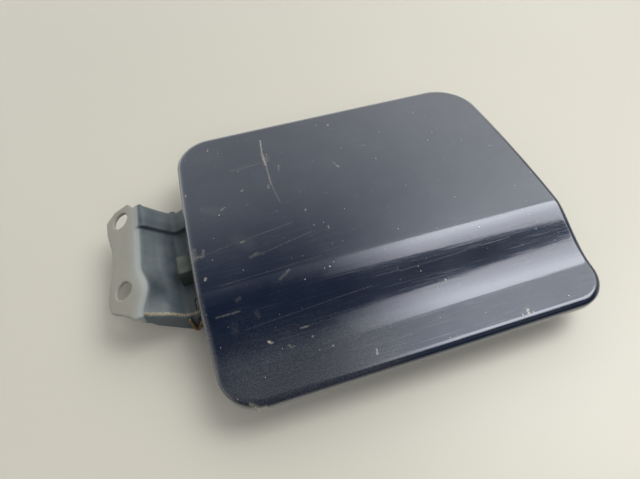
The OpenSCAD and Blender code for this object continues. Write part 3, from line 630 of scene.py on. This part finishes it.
def pin_piece(hinge):
    """The pin: a turned profile with a domed head, a clip groove and a bevelled tail."""
    back = hinge.base_back + PIN_ROOM
    clip = hinge.base_front - PIN_ROOM - CLIP_SHEET
    r, top = hinge.pin_radius, back + hinge.head
    turn = np.radians(np.linspace(0, 80, 6))
    dome = [(hinge.head_radius - 0.7 + 0.7 * cos(a), top - 0.7 + 0.7 * sin(a)) for a in turn]
    profile = [
        (0, clip - 1.2), (r - 0.5, clip - 1.2), (r, clip - 0.7), (r, clip - 0.05), (r - 0.5, clip - 0.05)
    ]
    profile += [(r - 0.5, clip + 0.85), (r, clip + 0.85), (r, back), (hinge.head_radius - 0.1, back)]
    profile += [(hinge.head_radius, back + 0.1)] + dome + [(0, top)]
    return lathe("hinge_pin_turned", profile, (hinge.pin_x, 0, hinge.pin_z), (0, 1, 0), 56)


def buffer_piece(name, x, y, size):
    """A rubber buffer: a turned profile with a domed foot, two ribs, a neck and a bead above the
    sheet."""
    seat = -size.field_drop
    turn = np.radians(np.linspace(90, 0, 7))
    foot = [(4.2 + 1.0 * cos(a), seat - 6 - 1.0 * sin(a)) for a in turn]
    profile = [(0, seat - 7)] + foot
    profile += [(5.3, seat - 4.6), (5.0, seat - 4.3), (5.0, seat - 3.9), (5.5, seat - 3.6), (5.7, seat - 2.4)]
    profile += [(5.4, seat - 2.1), (5.4, seat - 1.7), (5.9, seat - 1.4), (6, seat - 0.6), (5.8, seat - 0.15)]
    profile += [
        (3.2, seat - 0.1), (3.2, seat + 0.9), (4.1, seat + 0.95), (4.2, seat + 1.1), (3.6, seat + 2.3)
    ]
    profile += [(3.2, seat + 2.4), (0, seat + 2.4)]
    return lathe(name, profile, (x, y, 0), (0, 0, 1), 48)


# The striker's place on the door. Its loop's half width, lowest point, bend and wire radius. Its bracket's
# height and sheet, and how far the loop's legs stand up past the bracket's plate
STRIKER_X, STRIKER_Y = 58, 5.6
LOOP_HALF, LOOP_LOW, LOOP_BEND, LOOP_WIRE = 7, -27.5, 5, 2.49
BRACKET_HEIGHT, BRACKET_SHEET, LEG_PAST = 9, 1.5, 1.5


def striker_loop_piece(size):
    """The striker's loop: a round wire bent into a U, its path two straight legs joined by quarter
    circles and a bar."""
    half, low, bend = LOOP_HALF, LOOP_LOW, LOOP_BEND
    top = -size.field_drop - BRACKET_HEIGHT + BRACKET_SHEET + LEG_PAST
    turn = np.linspace(0, pi / 2, 12)
    right = np.stack([0 * turn, half - bend + bend * np.cos(turn), low + bend - bend * np.sin(turn)], axis=-1)
    left = right[::-1] * [1, -1, 1]
    legs = np.linspace(top, low + bend, 8)[:-1]
    up = np.stack([0 * legs, 0 * legs + half, legs], axis=-1)
    bar = np.stack([np.zeros(5), np.linspace(half - bend, bend - half, 7)[1:-1], np.full(5, low)], axis=-1)
    path = np.concatenate([up, right, bar, left, (up * [1, -1, 1])[::-1]])
    return tube("striker_loop_wire", path + [STRIKER_X, STRIKER_Y, 0], LOOP_WIRE, 24, (1.0, 0.0, 0.0))


# Materials

def add_node(tree, kind, inputs=(), **settings):
    """Adds a shader node with its settings, and fills its inputs with values or other nodes' sockets: in
    order, or by name or number. A node given as an input stands for its first output."""
    node = tree.nodes.new("ShaderNode" + kind)
    for key, value in settings.items():
        setattr(node, key, value)
    if not isinstance(inputs, dict):
        inputs = dict(enumerate(inputs))
    for key, value in inputs.items():
        if isinstance(value, bpy.types.Node):
            value = value.outputs[0]
        if isinstance(value, bpy.types.NodeSocket):
            tree.links.new(value, node.inputs[key])
        else:
            node.inputs[key].default_value = value
    return node


def new_material(name, colour):
    """An empty material. Returns it with its way of adding nodes and the piece's own coordinates."""
    material = bpy.data.materials.new(name)
    material.use_nodes = True
    material.diffuse_color = colour
    material.node_tree.nodes.clear()
    add = partial(add_node, material.node_tree)
    return material, add, add("TexCoord").outputs["Object"]


def at(x, y, z=0.0):
    """A place in millimetres from the skin's middle, in the shader's metres."""
    return (np.array([x, y, z]) + SKIN_MIDDLE) * MM


def scratch(add, place, ragged, start, end, width, much):
    """How bare a scratch leaves a place seen from above: `much` within the width of the straight line
    from start to end, fading over a ragged edge. The distance is that of the place to its nearest point
    on the line, which is start + (end - start) times the dot product with it over its squared length,
    kept in 0 to 1."""
    start, end = at(*start) * [1, 1, 0], at(*end) * [1, 1, 0]
    along = end - start
    gap = add("VectorMath", (place, tuple(start)), operation="SUBTRACT")
    dot = add("VectorMath", (gap, tuple(along / (along @ along))), operation="DOT_PRODUCT")
    share = add("Clamp", (dot.outputs["Value"],))
    nearest = add("VectorMath", {0: tuple(along), 3: share}, operation="SCALE")
    away = add("VectorMath", (gap, nearest), operation="DISTANCE").outputs["Value"]
    edge = add("Math", (ragged, -width * MM, away), operation="MULTIPLY_ADD")
    return add("MapRange", (edge, 0.3 * width * MM, -0.35 * width * MM, 0.0, much))


# Scratches, chips and smears on the door: start, end, width, and how bare or dusty they are
DOOR_MARKS = (
    # The long scratch from the back edge, fading to the front
    ((-39.3, 61.5), (-40.9, 50.1), 0.8, 0.42), ((-40.9, 50.1), (-40.9, 42.5), 1.3, 0.45),
    ((-40.9, 42.5), (-41.5, 27.9), 0.7, 0.28), ((-41.5, 27.9), (-40.2, 15.2), 0.6, 0.15),
    ((-39.3, 47.5), (-39.3, 45.5), 2.4, 0.12),
    # Chips
    ((-67.9, 62.4), (-67.3, 63.8), 0.72, 0.42), ((-83.3, 33.4), (-82.8, 34.3), 0.65, 0.42),
    ((-1.2, 61.9), (-0.4, 62.4), 0.79, 0.42), ((-30.2, 6.5), (-29.9, 7.0), 0.79, 0.47),
    ((-7.4, 33.1), (-6.6, 30.7), 0.58, 0.21), ((-6.3, 29.8), (-6.0, 29.2), 0.79, 0.47),
    ((-22.9, -6.1), (-23.0, -7.2), 0.86, 0.34), ((-29.1, -3.3), (-28.8, -3.3), 0.65, 0.34),
    ((-56.4, 28.1), (-55.9, 28.6), 0.94, 0.26), ((-63.3, -2.5), (-61.6, -2.2), 1, 0.31),
    ((-81.9, -17.2), (-81.6, -16.4), 0.86, 0.68), ((-62.7, -49.0), (-61.4, -49.7), 0.94, 0.72),
    ((-21.6, -65.4), (-22.1, -67.4), 0.86, 0.45), ((46.1, -68.2), (45.6, -70.1), 1.1, 0.45),
    ((-44.8, -52.0), (-44.4, -52.1), 0.79, 0.38), ((-38.0, -58.3), (-37.7, -58.6), 0.79, 0.38),
    ((18.6, -45.1), (18.9, -45.0), 0.72, 0.42),
    # Short scratches
    ((-43.1, 27.6), (-43.4, 26.0), 0.9, 0.25), ((-34.6, 39.9), (-35.6, 36.4), 0.7, 0.2),
    ((-68.3, 19.1), (-66.4, 20.3), 0.7, 0.28), ((-46.4, -23.2), (-47.8, -24.3), 1.1, 0.18),
    ((-48.3, -24.6), (-51.3, -26.3), 1.2, 0.13), ((-48.6, -47.4), (-45.3, -47.5), 0.8, 0.24),
    ((-80.7, -34.5), (-71.0, -34.5), 0.7, 0.2), ((-60.8, -11.6), (-57.8, -10.5), 1.3, 0.14),
    ((-57.8, -10.5), (-55.1, -11.6), 1.3, 0.1), ((-71.1, -30.1), (-69.7, -29.6), 1.4, 0.1),
    ((-55.0, -52.8), (-54.1, -53.9), 1.3, 0.2),
    # Rubbed places at the left edge, and wear at the front left corner
    ((-84.5, -0.4), (-84.6, -5.2), 2.6, 0.16), ((-84.5, -4.4), (-80.7, -4.5), 1.6, 0.22),
    ((-80.7, -4.5), (-80.0, -1.5), 1.1, 0.2), ((-75.4, -71.1), (-72.7, -73.1), 1.4, 0.45),
    ((-72.0, -73.2), (-69.9, -73.6), 1.2, 0.4),
    # Soft smears, and a dusty film on the front band
    ((-74.0, -66.0), (-28.0, -67.5), 31.0, 0.075),
    ((-75.3, 21.3), (-70.9, 18.8), 5.0, 0.03), ((-65.1, -0.3), (-60.3, -4.3), 6.0, 0.04),
    ((-54.2, -48.6), (-52.3, -53.8), 6.0, 0.04), ((-74.7, -39.4), (-74.4, -41.4), 3.0, 0.05),
    # Dust along the left edge
    ((-88.0, 52.0), (-85.6, -58.0), 2.6, 0.12), ((-64.5, -36.8), (-63.9, -38.4), 1.5, 0.08),
    # Long fine scratches
    ((-60.7, -12.2), (-31.6, -6.6), 0.6, 0.09), ((-82.3, -61.0), (-49.3, -63.5), 0.6, 0.1),
    ((-58.8, 43.5), (-42.5, 44.3), 0.6, 0.1), ((-79.0, -4.0), (-38.0, 1.5), 0.6, 0.08),
    ((-70.0, -42.0), (-14.0, -39.0), 0.5, 0.07), ((-60.0, -57.5), (-16.0, -55.0), 0.5, 0.08),
    ((-76.0, -22.0), (-30.0, -20.5), 0.5, 0.07), ((0.0, -36.5), (56.0, -35.0), 0.5, 0.06),
)


def door_paint(colours):
    """Clear-coated navy car paint, sprayed and then polished for years: a sharp reflection over a hazier
    one, fine scratches that run along the door, a thin dusty film whose pale blue-grey also paints the
    glints of the scratches, specks, and chips down to the filler."""
    material, add, place = new_material("Gloss navy car paint", colours.door_paint)
    seen = add("VectorMath", (place, (1, 1, 0)), operation="MULTIPLY")
    # Polishing scratches are hair-fine; they are drawn 0.5 to 0.7 mm wide so that they show
    lines = []
    for turn, grain, keep in ((0.03, 0.55, 0.56), (-0.09, 0.7, 0.62)):
        drawn = add("Mapping", {"Vector": seen, "Rotation": (0, 0, turn), "Scale": (0.016, 1, 1)})
        line = add("TexNoise", {"Vector": drawn, "Scale": 1 / (grain * MM), "Detail": 2.0, "Roughness": 0.7})
        lines.append(add("MapRange", (line, keep, keep + 0.16)))
    lines = add("Math", (lines[0], lines[1]), operation="ADD")
    # Hand marks 20 to 40 mm across change how hazy the lacquer is
    haze = add("TexNoise", {"Vector": place, "Scale": 1 / (28 * MM), "Detail": 3.0})
    ragged = add("TexNoise", {"Vector": place, "Scale": 1 / (0.9 * MM), "Detail": 2.0})
    bare = 0.0
    for mark in DOOR_MARKS:
        bare = add("Math", (bare, scratch(add, seen, ragged, *mark)), operation="MAXIMUM")
    grain = add("TexNoise", {"Vector": place, "Scale": 1 / (0.55 * MM), "Detail": 2.0})
    broken = add("MapRange", (grain, 0.38, 0.58, 0.35, 0.9))
    bare = add("Math", (bare, broken), operation="MULTIPLY")
    # Specks of dust and tiny chips: in over half of the cells of 2.4 mm, up to 0.7 mm across
    cells = add("TexVoronoi", {"Vector": seen, "Scale": 1 / (2.4 * MM)})
    chance = add("SeparateColor", (cells.outputs["Color"],))
    size = add("MapRange", (chance.outputs[0], 0.4, 1.0, 0.0, 0.16))
    inner = add("Math", (size, 0.3), operation="MULTIPLY")
    bright = add("Math", (chance.outputs[1], 1.7), operation="POWER")
    speck = add("MapRange", (cells.outputs["Distance"], size, inner, 0.0, bright))
    pale = add("Math", (bare, speck), operation="MAXIMUM")
    # Grainy dust lies in patches 10 to 20 mm across
    patch = add("TexNoise", {"Vector": place, "Scale": 1 / (16 * MM), "Detail": 2.0})
    patch = add("MapRange", (patch, 0.42, 0.72, 0.01, 0.08))
    grain = add("MapRange", (grain, 0.42, 0.66))
    film = add("MapRange", (haze, 0.35, 0.75, 0.002, 0.016))
    film = add("Math", (patch, grain, film), operation="MULTIPLY_ADD")
    film = add("Math", (lines, 0.08, film), operation="MULTIPLY_ADD")
    # The film's pale blue-grey is dust, and also painted glints of the polishing scratches
    dusty = add("Mix", {0: film, 6: colours.door_paint, 7: linear("848B96")}, data_type="RGBA").outputs[2]
    colour = add("Mix", {0: pale, 6: dusty, 7: colours.chip}, data_type="RGBA").outputs[2]
    rough = add("MapRange", (haze, 0.3, 0.7, 0.11, 0.19))
    flake = add("Math", (pale, -0.4, 0.4), operation="MULTIPLY_ADD", use_clamp=True)
    rough = add("Math", (lines, 0.08, rough), operation="MULTIPLY_ADD")
    rough = add("Math", (pale, 0.5, rough), operation="MULTIPLY_ADD")
    peel = add("TexNoise", {"Vector": place, "Scale": 1 / (3.5 * MM), "Detail": 1.0})
    height = add("Math", (lines, -0.8, peel), operation="MULTIPLY_ADD")
    height = add("Math", (pale, -4.0, height), operation="MULTIPLY_ADD")
    normal = add("Bump", {"Height": height, "Distance": 0.006 * MM})
    shader = add("BsdfPrincipled", {
        "Base Color": colour, "Metallic": flake, "Roughness": rough, "Normal": normal,
        "Coat Weight": 1.0, "Coat Roughness": 0.05, "Coat Normal": normal,
    })
    add("OutputMaterial", {"Surface": shader})
    return material


def thin_paint(name, paint, dust):
    """Paint sprayed thinly inside the door and over its arm: dull, slightly grainy, with dust in the flat
    places."""
    material, add, place = new_material(name, paint)
    # Dust gathers in patches of about 14 mm
    cloud = add("TexNoise", {"Vector": place, "Scale": 1 / (14 * MM), "Detail": 4.0})
    share = add("MapRange", (cloud, 0.45, 0.8, 0.02, 0.3))
    colour = add("Mix", {0: share, 6: paint, 7: dust}, data_type="RGBA").outputs[2]
    rough = add("MapRange", (cloud, 0.3, 0.7, 0.38, 0.6))
    # Spray grain of about 0.8 mm
    grain = add("TexNoise", {"Vector": place, "Scale": 1 / (0.8 * MM), "Detail": 2.0})
    normal = add("Bump", {"Height": grain, "Distance": 0.02 * MM})
    shader = add("BsdfPrincipled", {"Base Color": colour, "Roughness": rough, "Normal": normal})
    add("OutputMaterial", {"Surface": shader})
    return material


def base_paint(colours, hinge):
    """Satin blue-grey dip paint on pressed steel: chalky and beige on the outer flange, with a painted
    highlight along the crest, painted darker beside the bulge and with painted shade at the foot of the
    raised strip, and worn through to cream primer along the fold above the front ear."""
    material, add, place = new_material("Satin dip paint, worn, with painted light and shade", colours.base_paint)
    parts = add("SeparateXYZ", (place,))
    x, y = parts.outputs[0], parts.outputs[1]
    # The dust is clouded over 7 mm, and the dip coat's grain is about 0.7 mm
    cloud = add("TexNoise", {"Vector": place, "Scale": 1 / (7 * MM), "Detail": 5.0, "Roughness": 0.65})
    fine = add("TexNoise", {"Vector": place, "Scale": 1 / (0.7 * MM), "Detail": 3.0})
    # The dust, the painted highlight, the painted darkening and the wear follow the crest, which runs aslant
    # and bulges over 12.5 mm each way beside the front hole
    past = add("Math", (y, at(0, CREST_BELL_Y)[1]), operation="SUBTRACT")
    past = add("Math", (past,), operation="ABSOLUTE")
    bell = add("MapRange", (past, 12.5 * MM, 0.0), interpolation_type="SMOOTHSTEP")
    bulge = add("Math", (bell, CREST_BELL * MM), operation="MULTIPLY")
    front, back = at(0, hinge.base_front)[1], at(0, hinge.base_back)[1]
    slant = add("MapRange", (y, front, back, CREST_FRONT * MM, CREST_BACK * MM))
    across = add("Math", (x, bulge), operation="SUBTRACT")
    across = add("Math", (across, slant), operation="SUBTRACT")
    crest = at(CREST_X, 0)[0]
    flange = add("MapRange", (across, crest + 1.4 * MM, crest - 1.0 * MM, 0.08, 0.85))
    dust = add("Math", (cloud, 0.4, flange), operation="MULTIPLY_ADD")
    dust = add("Math", (dust, 0.22), operation="SUBTRACT", use_clamp=True)
    colour = add("Mix", {0: dust, 6: colours.base_paint, 7: colours.base_dust}, data_type="RGBA").outputs[2]
    # A painted highlight makes the flange paler towards the crest
    crest_highlight = add("MapRange", (across, crest - 6 * MM, crest, 0.0, 0.45))
    beyond = add("MapRange", (across, crest + 1.3 * MM, crest + 0.4 * MM))
    crest_highlight = add("Math", (crest_highlight, beyond), operation="MULTIPLY")
    colour = add("Mix", {0: crest_highlight, 6: colour, 7: linear("A3AEB2")}, data_type="RGBA").outputs[2]
    # The web is painted darker beside the bulge, and painted shade lies in a band 6 mm wide at the foot of
    # the raised strip, where the step's face is in shadow
    painted_darkening = add("MapRange", (across, crest + 9 * MM, crest + 4 * MM, 0.0, 0.75))
    painted_darkening = add("Math", (painted_darkening, bell), operation="MULTIPLY")
    foot = add("MapRange", (y, at(0, 31.5)[1], at(0, 28.5)[1], 0.0, 0.5))
    start = add("MapRange", (y, at(0, 24.2)[1], at(0, 25.6)[1]))
    foot = add("Math", (foot, start), operation="MULTIPLY")
    painted_darkening = add("Math", (painted_darkening, foot), operation="MAXIMUM")
    inside = add("MapRange", (across, crest + 0.8 * MM, crest + 2.2 * MM))
    painted_darkening = add("Math", (painted_darkening, inside), operation="MULTIPLY")
    colour = add("Mix", {0: painted_darkening, 6: colour, 7: linear("22303A")}, data_type="RGBA").outputs[2]
    # The fold above the front ear is worn in a band up to 1.8 mm wide
    fold = add("Math", (y, front + 1.5 * MM), operation="SUBTRACT")
    fold = add("Math", (fold,), operation="ABSOLUTE")
    fold = add("MapRange", (fold, 0.9 * MM, 0.2 * MM))
    breakup = add("MapRange", (fine, 0.35, 0.6, 0.15, 0.6))
    worn = add("Math", (fold, inside), operation="MULTIPLY")
    worn = add("Math", (worn, breakup), operation="MULTIPLY")
    colour = add("Mix", {0: worn, 6: colour, 7: linear("C4B28E")}, data_type="RGBA").outputs[2]
    rough = add("MapRange", (cloud, 0.3, 0.7, 0.34, 0.55))
    rough = add("Math", (dust, 0.25, rough), operation="MULTIPLY_ADD")
    height = add("Math", (cloud, 3.0, fine), operation="MULTIPLY_ADD")
    normal = add("Bump", {"Height": height, "Distance": 0.03 * MM})
    shader = add("BsdfPrincipled", {"Base Color": colour, "Roughness": rough, "Normal": normal})
    add("OutputMaterial", {"Surface": shader})
    return material


def steel(name, clean, stain, much, low, high):
    """Steel wire or bar, zinc plated or bare: patches of stain, rougher where stained, with a fine drawn
    grain."""
    material, add, place = new_material(name, clean)
    # Stains are about 2 mm across, and the drawn grain is 0.25 mm
    patch = add("TexNoise", {"Vector": place, "Scale": 1 / (2.2 * MM), "Detail": 5.0, "Roughness": 0.7})
    share = add("MapRange", (patch, 0.62 - much * 0.35, 0.72 - much * 0.25))
    colour = add("Mix", {0: share, 6: clean, 7: stain}, data_type="RGBA").outputs[2]
    metal = add("MapRange", (share, 0.0, 1.0, 1.0, 0.1))
    rough = add("MapRange", (share, 0.0, 1.0, low, high))
    grain = add("TexNoise", {"Vector": place, "Scale": 1 / (0.25 * MM), "Detail": 2.0})
    height = add("Math", (share, 2.0, grain), operation="MULTIPLY_ADD")
    normal = add("Bump", {"Height": height, "Distance": 0.02 * MM})
    inputs = {"Base Color": colour, "Metallic": metal, "Roughness": rough, "Normal": normal}
    add("OutputMaterial", {"Surface": add("BsdfPrincipled", inputs)})
    return material


def soft_stuff(name, body, dust, much, grain_size, depth):
    """Moulded rubber, mastic or sealer: matt, with a fine skin and dust lying in it."""
    material, add, place = new_material(name, body)
    # Dust lies in patches of about 4 mm
    cloud = add("TexNoise", {"Vector": place, "Scale": 1 / (4 * MM), "Detail": 5.0})
    share = add("MapRange", (cloud, 0.4, 0.75, 0.0, much))
    colour = add("Mix", {0: share, 6: body, 7: dust}, data_type="RGBA").outputs[2]
    rough = add("MapRange", (cloud, 0.3, 0.7, 0.55, 0.8))
    grain = add("TexNoise", {"Vector": place, "Scale": 1 / (grain_size * MM), "Detail": 3.0})
    normal = add("Bump", {"Height": grain, "Distance": depth * MM})
    inputs = {"Base Color": colour, "Roughness": rough, "Normal": normal}
    add("OutputMaterial", {"Surface": add("BsdfPrincipled", inputs)})
    return material


def table_top(colours):
    """A matt laminate table: plain, with the faintest cloud in its colour."""
    material, add, place = new_material("Pale table", colours.floor)
    cloud = add("TexNoise", {"Vector": place, "Scale": 1 / (90 * MM), "Detail": 3.0})
    share = add("MapRange", (cloud, 0.3, 0.7, 0.0, 0.06))
    colour = add("Mix", {0: share, 6: colours.floor, 7: linear("B8B4A9")}, data_type="RGBA").outputs[2]
    shader = add("BsdfPrincipled", {"Base Color": colour, "Roughness": 0.36})
    add("OutputMaterial", {"Surface": shader})
    return material


# Operators

def sizes():
    """The panel's and the hinge's sizes in millimetres, and the colours."""
    scene = bpy.context.scene
    return in_mm(scene.fuel_door_panel), in_mm(scene.fuel_door_hinge), scene.fuel_door_colours


class BuildOuterPanel(bpy.types.Operator):
    """Build the painted outer panel with its step, rim and hem"""
    bl_idname = "fueldoor.outer_panel"
    bl_label = "Outer panel"

    def execute(self, context):
        size, _, colours = sizes()
        dress(outer_panel_piece(size), "outer_panel", "door", door_paint(colours))
        return {"FINISHED"}


class BuildInnerPanel(bpy.types.Operator):
    """Build the inner panel, the sealer at its hem and the finish of the mastic pads"""
    bl_idname = "fueldoor.inner_panel"
    bl_label = "Inner panel"

    def execute(self, context):
        size, hinge, colours = sizes()
        paint = thin_paint("Thin inner paint", colours.primer, linear("6B6F74"))
        dress(inner_panel_piece(size, hinge), "inner_panel", "door", paint)
        sealer = soft_stuff("Painted-over sealer", colours.sealer, linear("6B6F74"), 0.4, 1.4, 0.08)
        dress(sealer_piece(size), "hem_sealer", "door", sealer)
        mastic = soft_stuff("Mastic", colours.mastic, linear("6B6F74"), 0.3, 1.2, 0.1)
        for k in range(1, 5):
            coat(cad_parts[f"mastic_pad_{k}"], mastic)
        return {"FINISHED"}


class BuildHinge(bpy.types.Operator):
    """Build the hinge: its base, arm, pin, clip and torsion spring"""
    bl_idname = "fueldoor.hinge"
    bl_label = "Hinge"

    def execute(self, context):
        _, hinge, colours = sizes()
        dress(base_piece(hinge), "base_bracket", "base", base_paint(colours, hinge))
        arm = softened_copy("hinge_arm_pressing", "hinge_arm", 0.42, 4)
        paint = thin_paint("Thin arm paint", colours.primer, linear("7C7F80"))
        dress(arm, "hinge_arm", "door", paint)
        plated = steel("Dull zinc plating", colours.plated, linear("6E6353"), 0.2, 0.35, 0.6)
        dress(pin_piece(hinge), "hinge_pin", "base", plated)
        coat(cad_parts["pin_clip"], plated)
        rust = steel("Rusty spring steel", linear("8E8468"), colours.rust, 0.45, 0.4, 0.8)
        coil, leg = spring_pieces(hinge)
        dress(coil, "hinge_spring", "base", rust)
        coat(leg, rust)
        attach(leg, "door")
        return {"FINISHED"}


class BuildRubber(bpy.types.Operator):
    """Build the rubber stop and the door's two rubber buffers"""
    bl_idname = "fueldoor.rubber"
    bl_label = "Rubber stop and buffers"

    def execute(self, context):
        size, hinge, colours = sizes()
        stop = softened_copy("stop_buffer_block", "stop_buffer", 0.25, 14)
        dusty = soft_stuff("Dusty stop rubber", colours.stop, linear("6A6F68"), 0.4, 0.5, 0.05)
        dress(stop, "stop_buffer", "base", dusty)
        black = soft_stuff("Black buffer rubber", colours.rubber, linear("4A4A48"), 0.35, 0.35, 0.03)
        front = size.step_y + size.step_width / 2 + hinge.buffer_step
        for node, y in (("back_buffer", hinge.buffer_back), ("front_buffer", front)):
            dress(buffer_piece(node + "_turned", hinge.buffer_x, y, size), node, "door", black)
        return {"FINISHED"}


class BuildStriker(bpy.types.Operator):
    """Build the striker's bracket and its wire loop"""
    bl_idname = "fueldoor.striker"
    bl_label = "Striker"

    def execute(self, context):
        size, _, colours = sizes()
        bracket = softened_copy("striker_bracket_pressing", "striker_bracket", 0.3, 4)
        paint = thin_paint("Thin striker paint", colours.primer, linear("7C7F80"))
        dress(bracket, "striker_bracket", "door", paint)
        bright = steel("Plated striker wire", colours.plated, linear("57503F"), 0.1, 0.25, 0.5)
        dress(striker_loop_piece(size), "striker_loop", "door", bright)
        return {"FINISHED"}


# The stage: half the floor's width, and the soft box and the fill lamp, with sizes in metres, places in
# millimetres from the skin's middle and turns in degrees
FLOOR_HALF = 3000
BOX_SIZE, BOX_PLACE, BOX_TURN = (1.1, 0.516), (699, 10, 1000), (0, 0, -7.8)
FILL_SIZE, FILL_PLACE, FILL_TURN = 0.9, (60, -750, 850), (41, 0, 4)
CAMERA_PLACE, CAMERA_TURN = (-64.61522, -133.72923, 172.34131), (36.32303, 0.84830, -17.54574)
# The soft box is a little warm, and the camera sees the room itself at this level
BOX_TINT, ROOM_SEEN = (1.0, 0.985, 0.96), 0.9


def stand(thing, name, place, turn):
    """Puts a lamp or a camera on the stage."""
    piece = bpy.data.objects.new(name, thing)
    piece.location = at(*place)
    piece.rotation_euler = [radians(a) for a in turn]
    bpy.context.scene.collection.objects.link(piece)
    return piece


class BuildStage(bpy.types.Operator):
    """Build the floor, the soft lights and the camera"""
    bl_idname = "fueldoor.stage"
    bl_label = "Stage"

    def execute(self, context):
        scene = context.scene
        stage, colours = scene.fuel_door_stage, scene.fuel_door_colours
        corners = FLOOR_HALF * np.array([[-1.0, -1.0], [1.0, -1.0], [1.0, 1.0], [-1.0, 1.0]])
        floor = np.column_stack([corners, np.full(4, -SKIN_MIDDLE[2])])
        floor = mesh_object("pale_floor", floor, np.arange(4)[None])
        coat(floor, table_top(colours))
        lamp = bpy.data.lights.new("soft_box", "AREA")
        lamp.shape = "RECTANGLE"
        lamp.size, lamp.size_y = BOX_SIZE
        lamp.energy = stage.box_light * pi * lamp.size * lamp.size_y
        lamp.color = BOX_TINT
        # The box dims over the last third of its length, to the left
        lamp.use_nodes = True
        lamp.node_tree.nodes.clear()
        add = partial(add_node, lamp.node_tree)
        spot = add("SeparateXYZ", (add("NewGeometry").outputs["Parametric"],))
        inputs = (spot, 0.0, 0.3, 0.1, 1.0)
        share = add("MapRange", inputs, interpolation_type="SMOOTHSTEP")
        add("OutputLight", (add("Emission", {"Strength": share}),))
        box = stand(lamp, "soft_box", BOX_PLACE, BOX_TURN)
        box.visible_camera = False
        fill = bpy.data.lights.new("fill_lamp", "AREA")
        fill.shape, fill.size = "SQUARE", FILL_SIZE
        fill.energy = stage.fill_light * pi * fill.size ** 2
        front = stand(fill, "fill_lamp", FILL_PLACE, FILL_TURN)
        front.visible_camera = front.visible_glossy = False
        view = bpy.data.cameras.new("camera")
        view.sensor_width, view.lens, view.clip_start = 36.0, stage.lens, 0.01
        scene.camera = stand(view, "camera", CAMERA_PLACE, CAMERA_TURN)
        self.room(scene, stage)
        scene.view_settings.view_transform = "Standard"
        return {"FINISHED"}

    def room(self, scene, stage):
        """Light from the room, set by the direction that it comes from: an even level, a paler wall
        behind, a bright side to the right, a dim ceiling, and pale walls near the table's level. What the
        camera sees directly is plain and pale."""
        world = bpy.data.worlds.new("studio")
        world.use_nodes = True
        world.node_tree.nodes.clear()
        scene.world = world
        add = partial(add_node, world.node_tree)
        way = add("SeparateXYZ", (add("TexCoord").outputs["Generated"],))
        x, y, z = way.outputs
        # Each part is a product of smooth ramps: a direction, its start and end, and the levels there
        parts = (
            # The wall behind
            ((y, 0.5, 0.72, 0.0, stage.wall_light),),
            # The bright side to the right
            ((x, 0.04, 0.5, 0.0, stage.side_light), (z, 0.35, 0.6, 0.0, 1.0), (y, -0.15, 0.15, 0.07, 1.0),
             (y, 0.4, 0.75, 1.0, 0.25)),
            # The ceiling
            ((y, -0.2, 0.4, 0.0, 0.3), (z, 0.8, 0.96, 0.0, 1.0)),
            # The wall to the left
            ((x, -0.1, -0.9, 0.0, stage.left_light), (y, -0.6, -0.2, 0.0, 1.0)),
            # What stands near the table's level
            ((z, 0.5, 0.2, 0.0, stage.low_light), (y, -0.5, -0.1, 0.0, 1.0)),
        )
        level = stage.room_light
        for ramps in parts:
            part = 1.0
            for ramp in ramps:
                share = add("MapRange", ramp, interpolation_type="SMOOTHSTEP")
                part = add("Math", (part, share), operation="MULTIPLY")
            level = add("Math", (level, part), operation="ADD")
        rays = add("LightPath")
        level = add("Mix", {0: rays.outputs["Is Camera Ray"], 2: level, 3: ROOM_SEEN}, data_type="FLOAT")
        light = add("Background", {"Color": linear("F4F4EE"), "Strength": level})
        add("OutputWorld", {"Surface": light})


OPERATORS = (BuildOuterPanel, BuildInnerPanel, BuildHinge, BuildRubber, BuildStriker, BuildStage)


class FuelDoorSidebar(bpy.types.Panel):
    """Lists the pieces of the fuel door"""
    bl_idname = "VIEW3D_PT_fuel_door"
    bl_label = "Fuel Door"
    bl_space_type = "VIEW_3D"
    bl_region_type = "UI"
    bl_category = "Fuel Door"

    def draw(self, context):
        for operator in OPERATORS:
            self.layout.operator(operator.bl_idname)
        for _, name in GROUPS:
            box = self.layout.box()
            group = getattr(context.scene, name)
            for key in group.__annotations__:
                box.prop(group, key)


GROUPS = (
    (FuelDoorPanelSizes, "fuel_door_panel"), (FuelDoorHingeSizes, "fuel_door_hinge"),
    (FuelDoorColours, "fuel_door_colours"), (FuelDoorStage, "fuel_door_stage"),
)


def register():
    for group, name in GROUPS:
        bpy.utils.register_class(group)
        setattr(bpy.types.Scene, name, PointerProperty(type=group))
    for operator in OPERATORS:
        bpy.utils.register_class(operator)
    bpy.utils.register_class(FuelDoorSidebar)


def unregister():
    bpy.utils.unregister_class(FuelDoorSidebar)
    for operator in reversed(OPERATORS):
        bpy.utils.unregister_class(operator)
    for group, name in reversed(GROUPS):
        delattr(bpy.types.Scene, name)
        bpy.utils.unregister_class(group)


def main():
    """Registers the classes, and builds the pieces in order."""
    register()
    bpy.ops.fueldoor.outer_panel()
    bpy.ops.fueldoor.inner_panel()
    bpy.ops.fueldoor.hinge()
    bpy.ops.fueldoor.rubber()
    bpy.ops.fueldoor.striker()
    bpy.ops.fueldoor.stage()


if __name__ == "__main__":
    main()
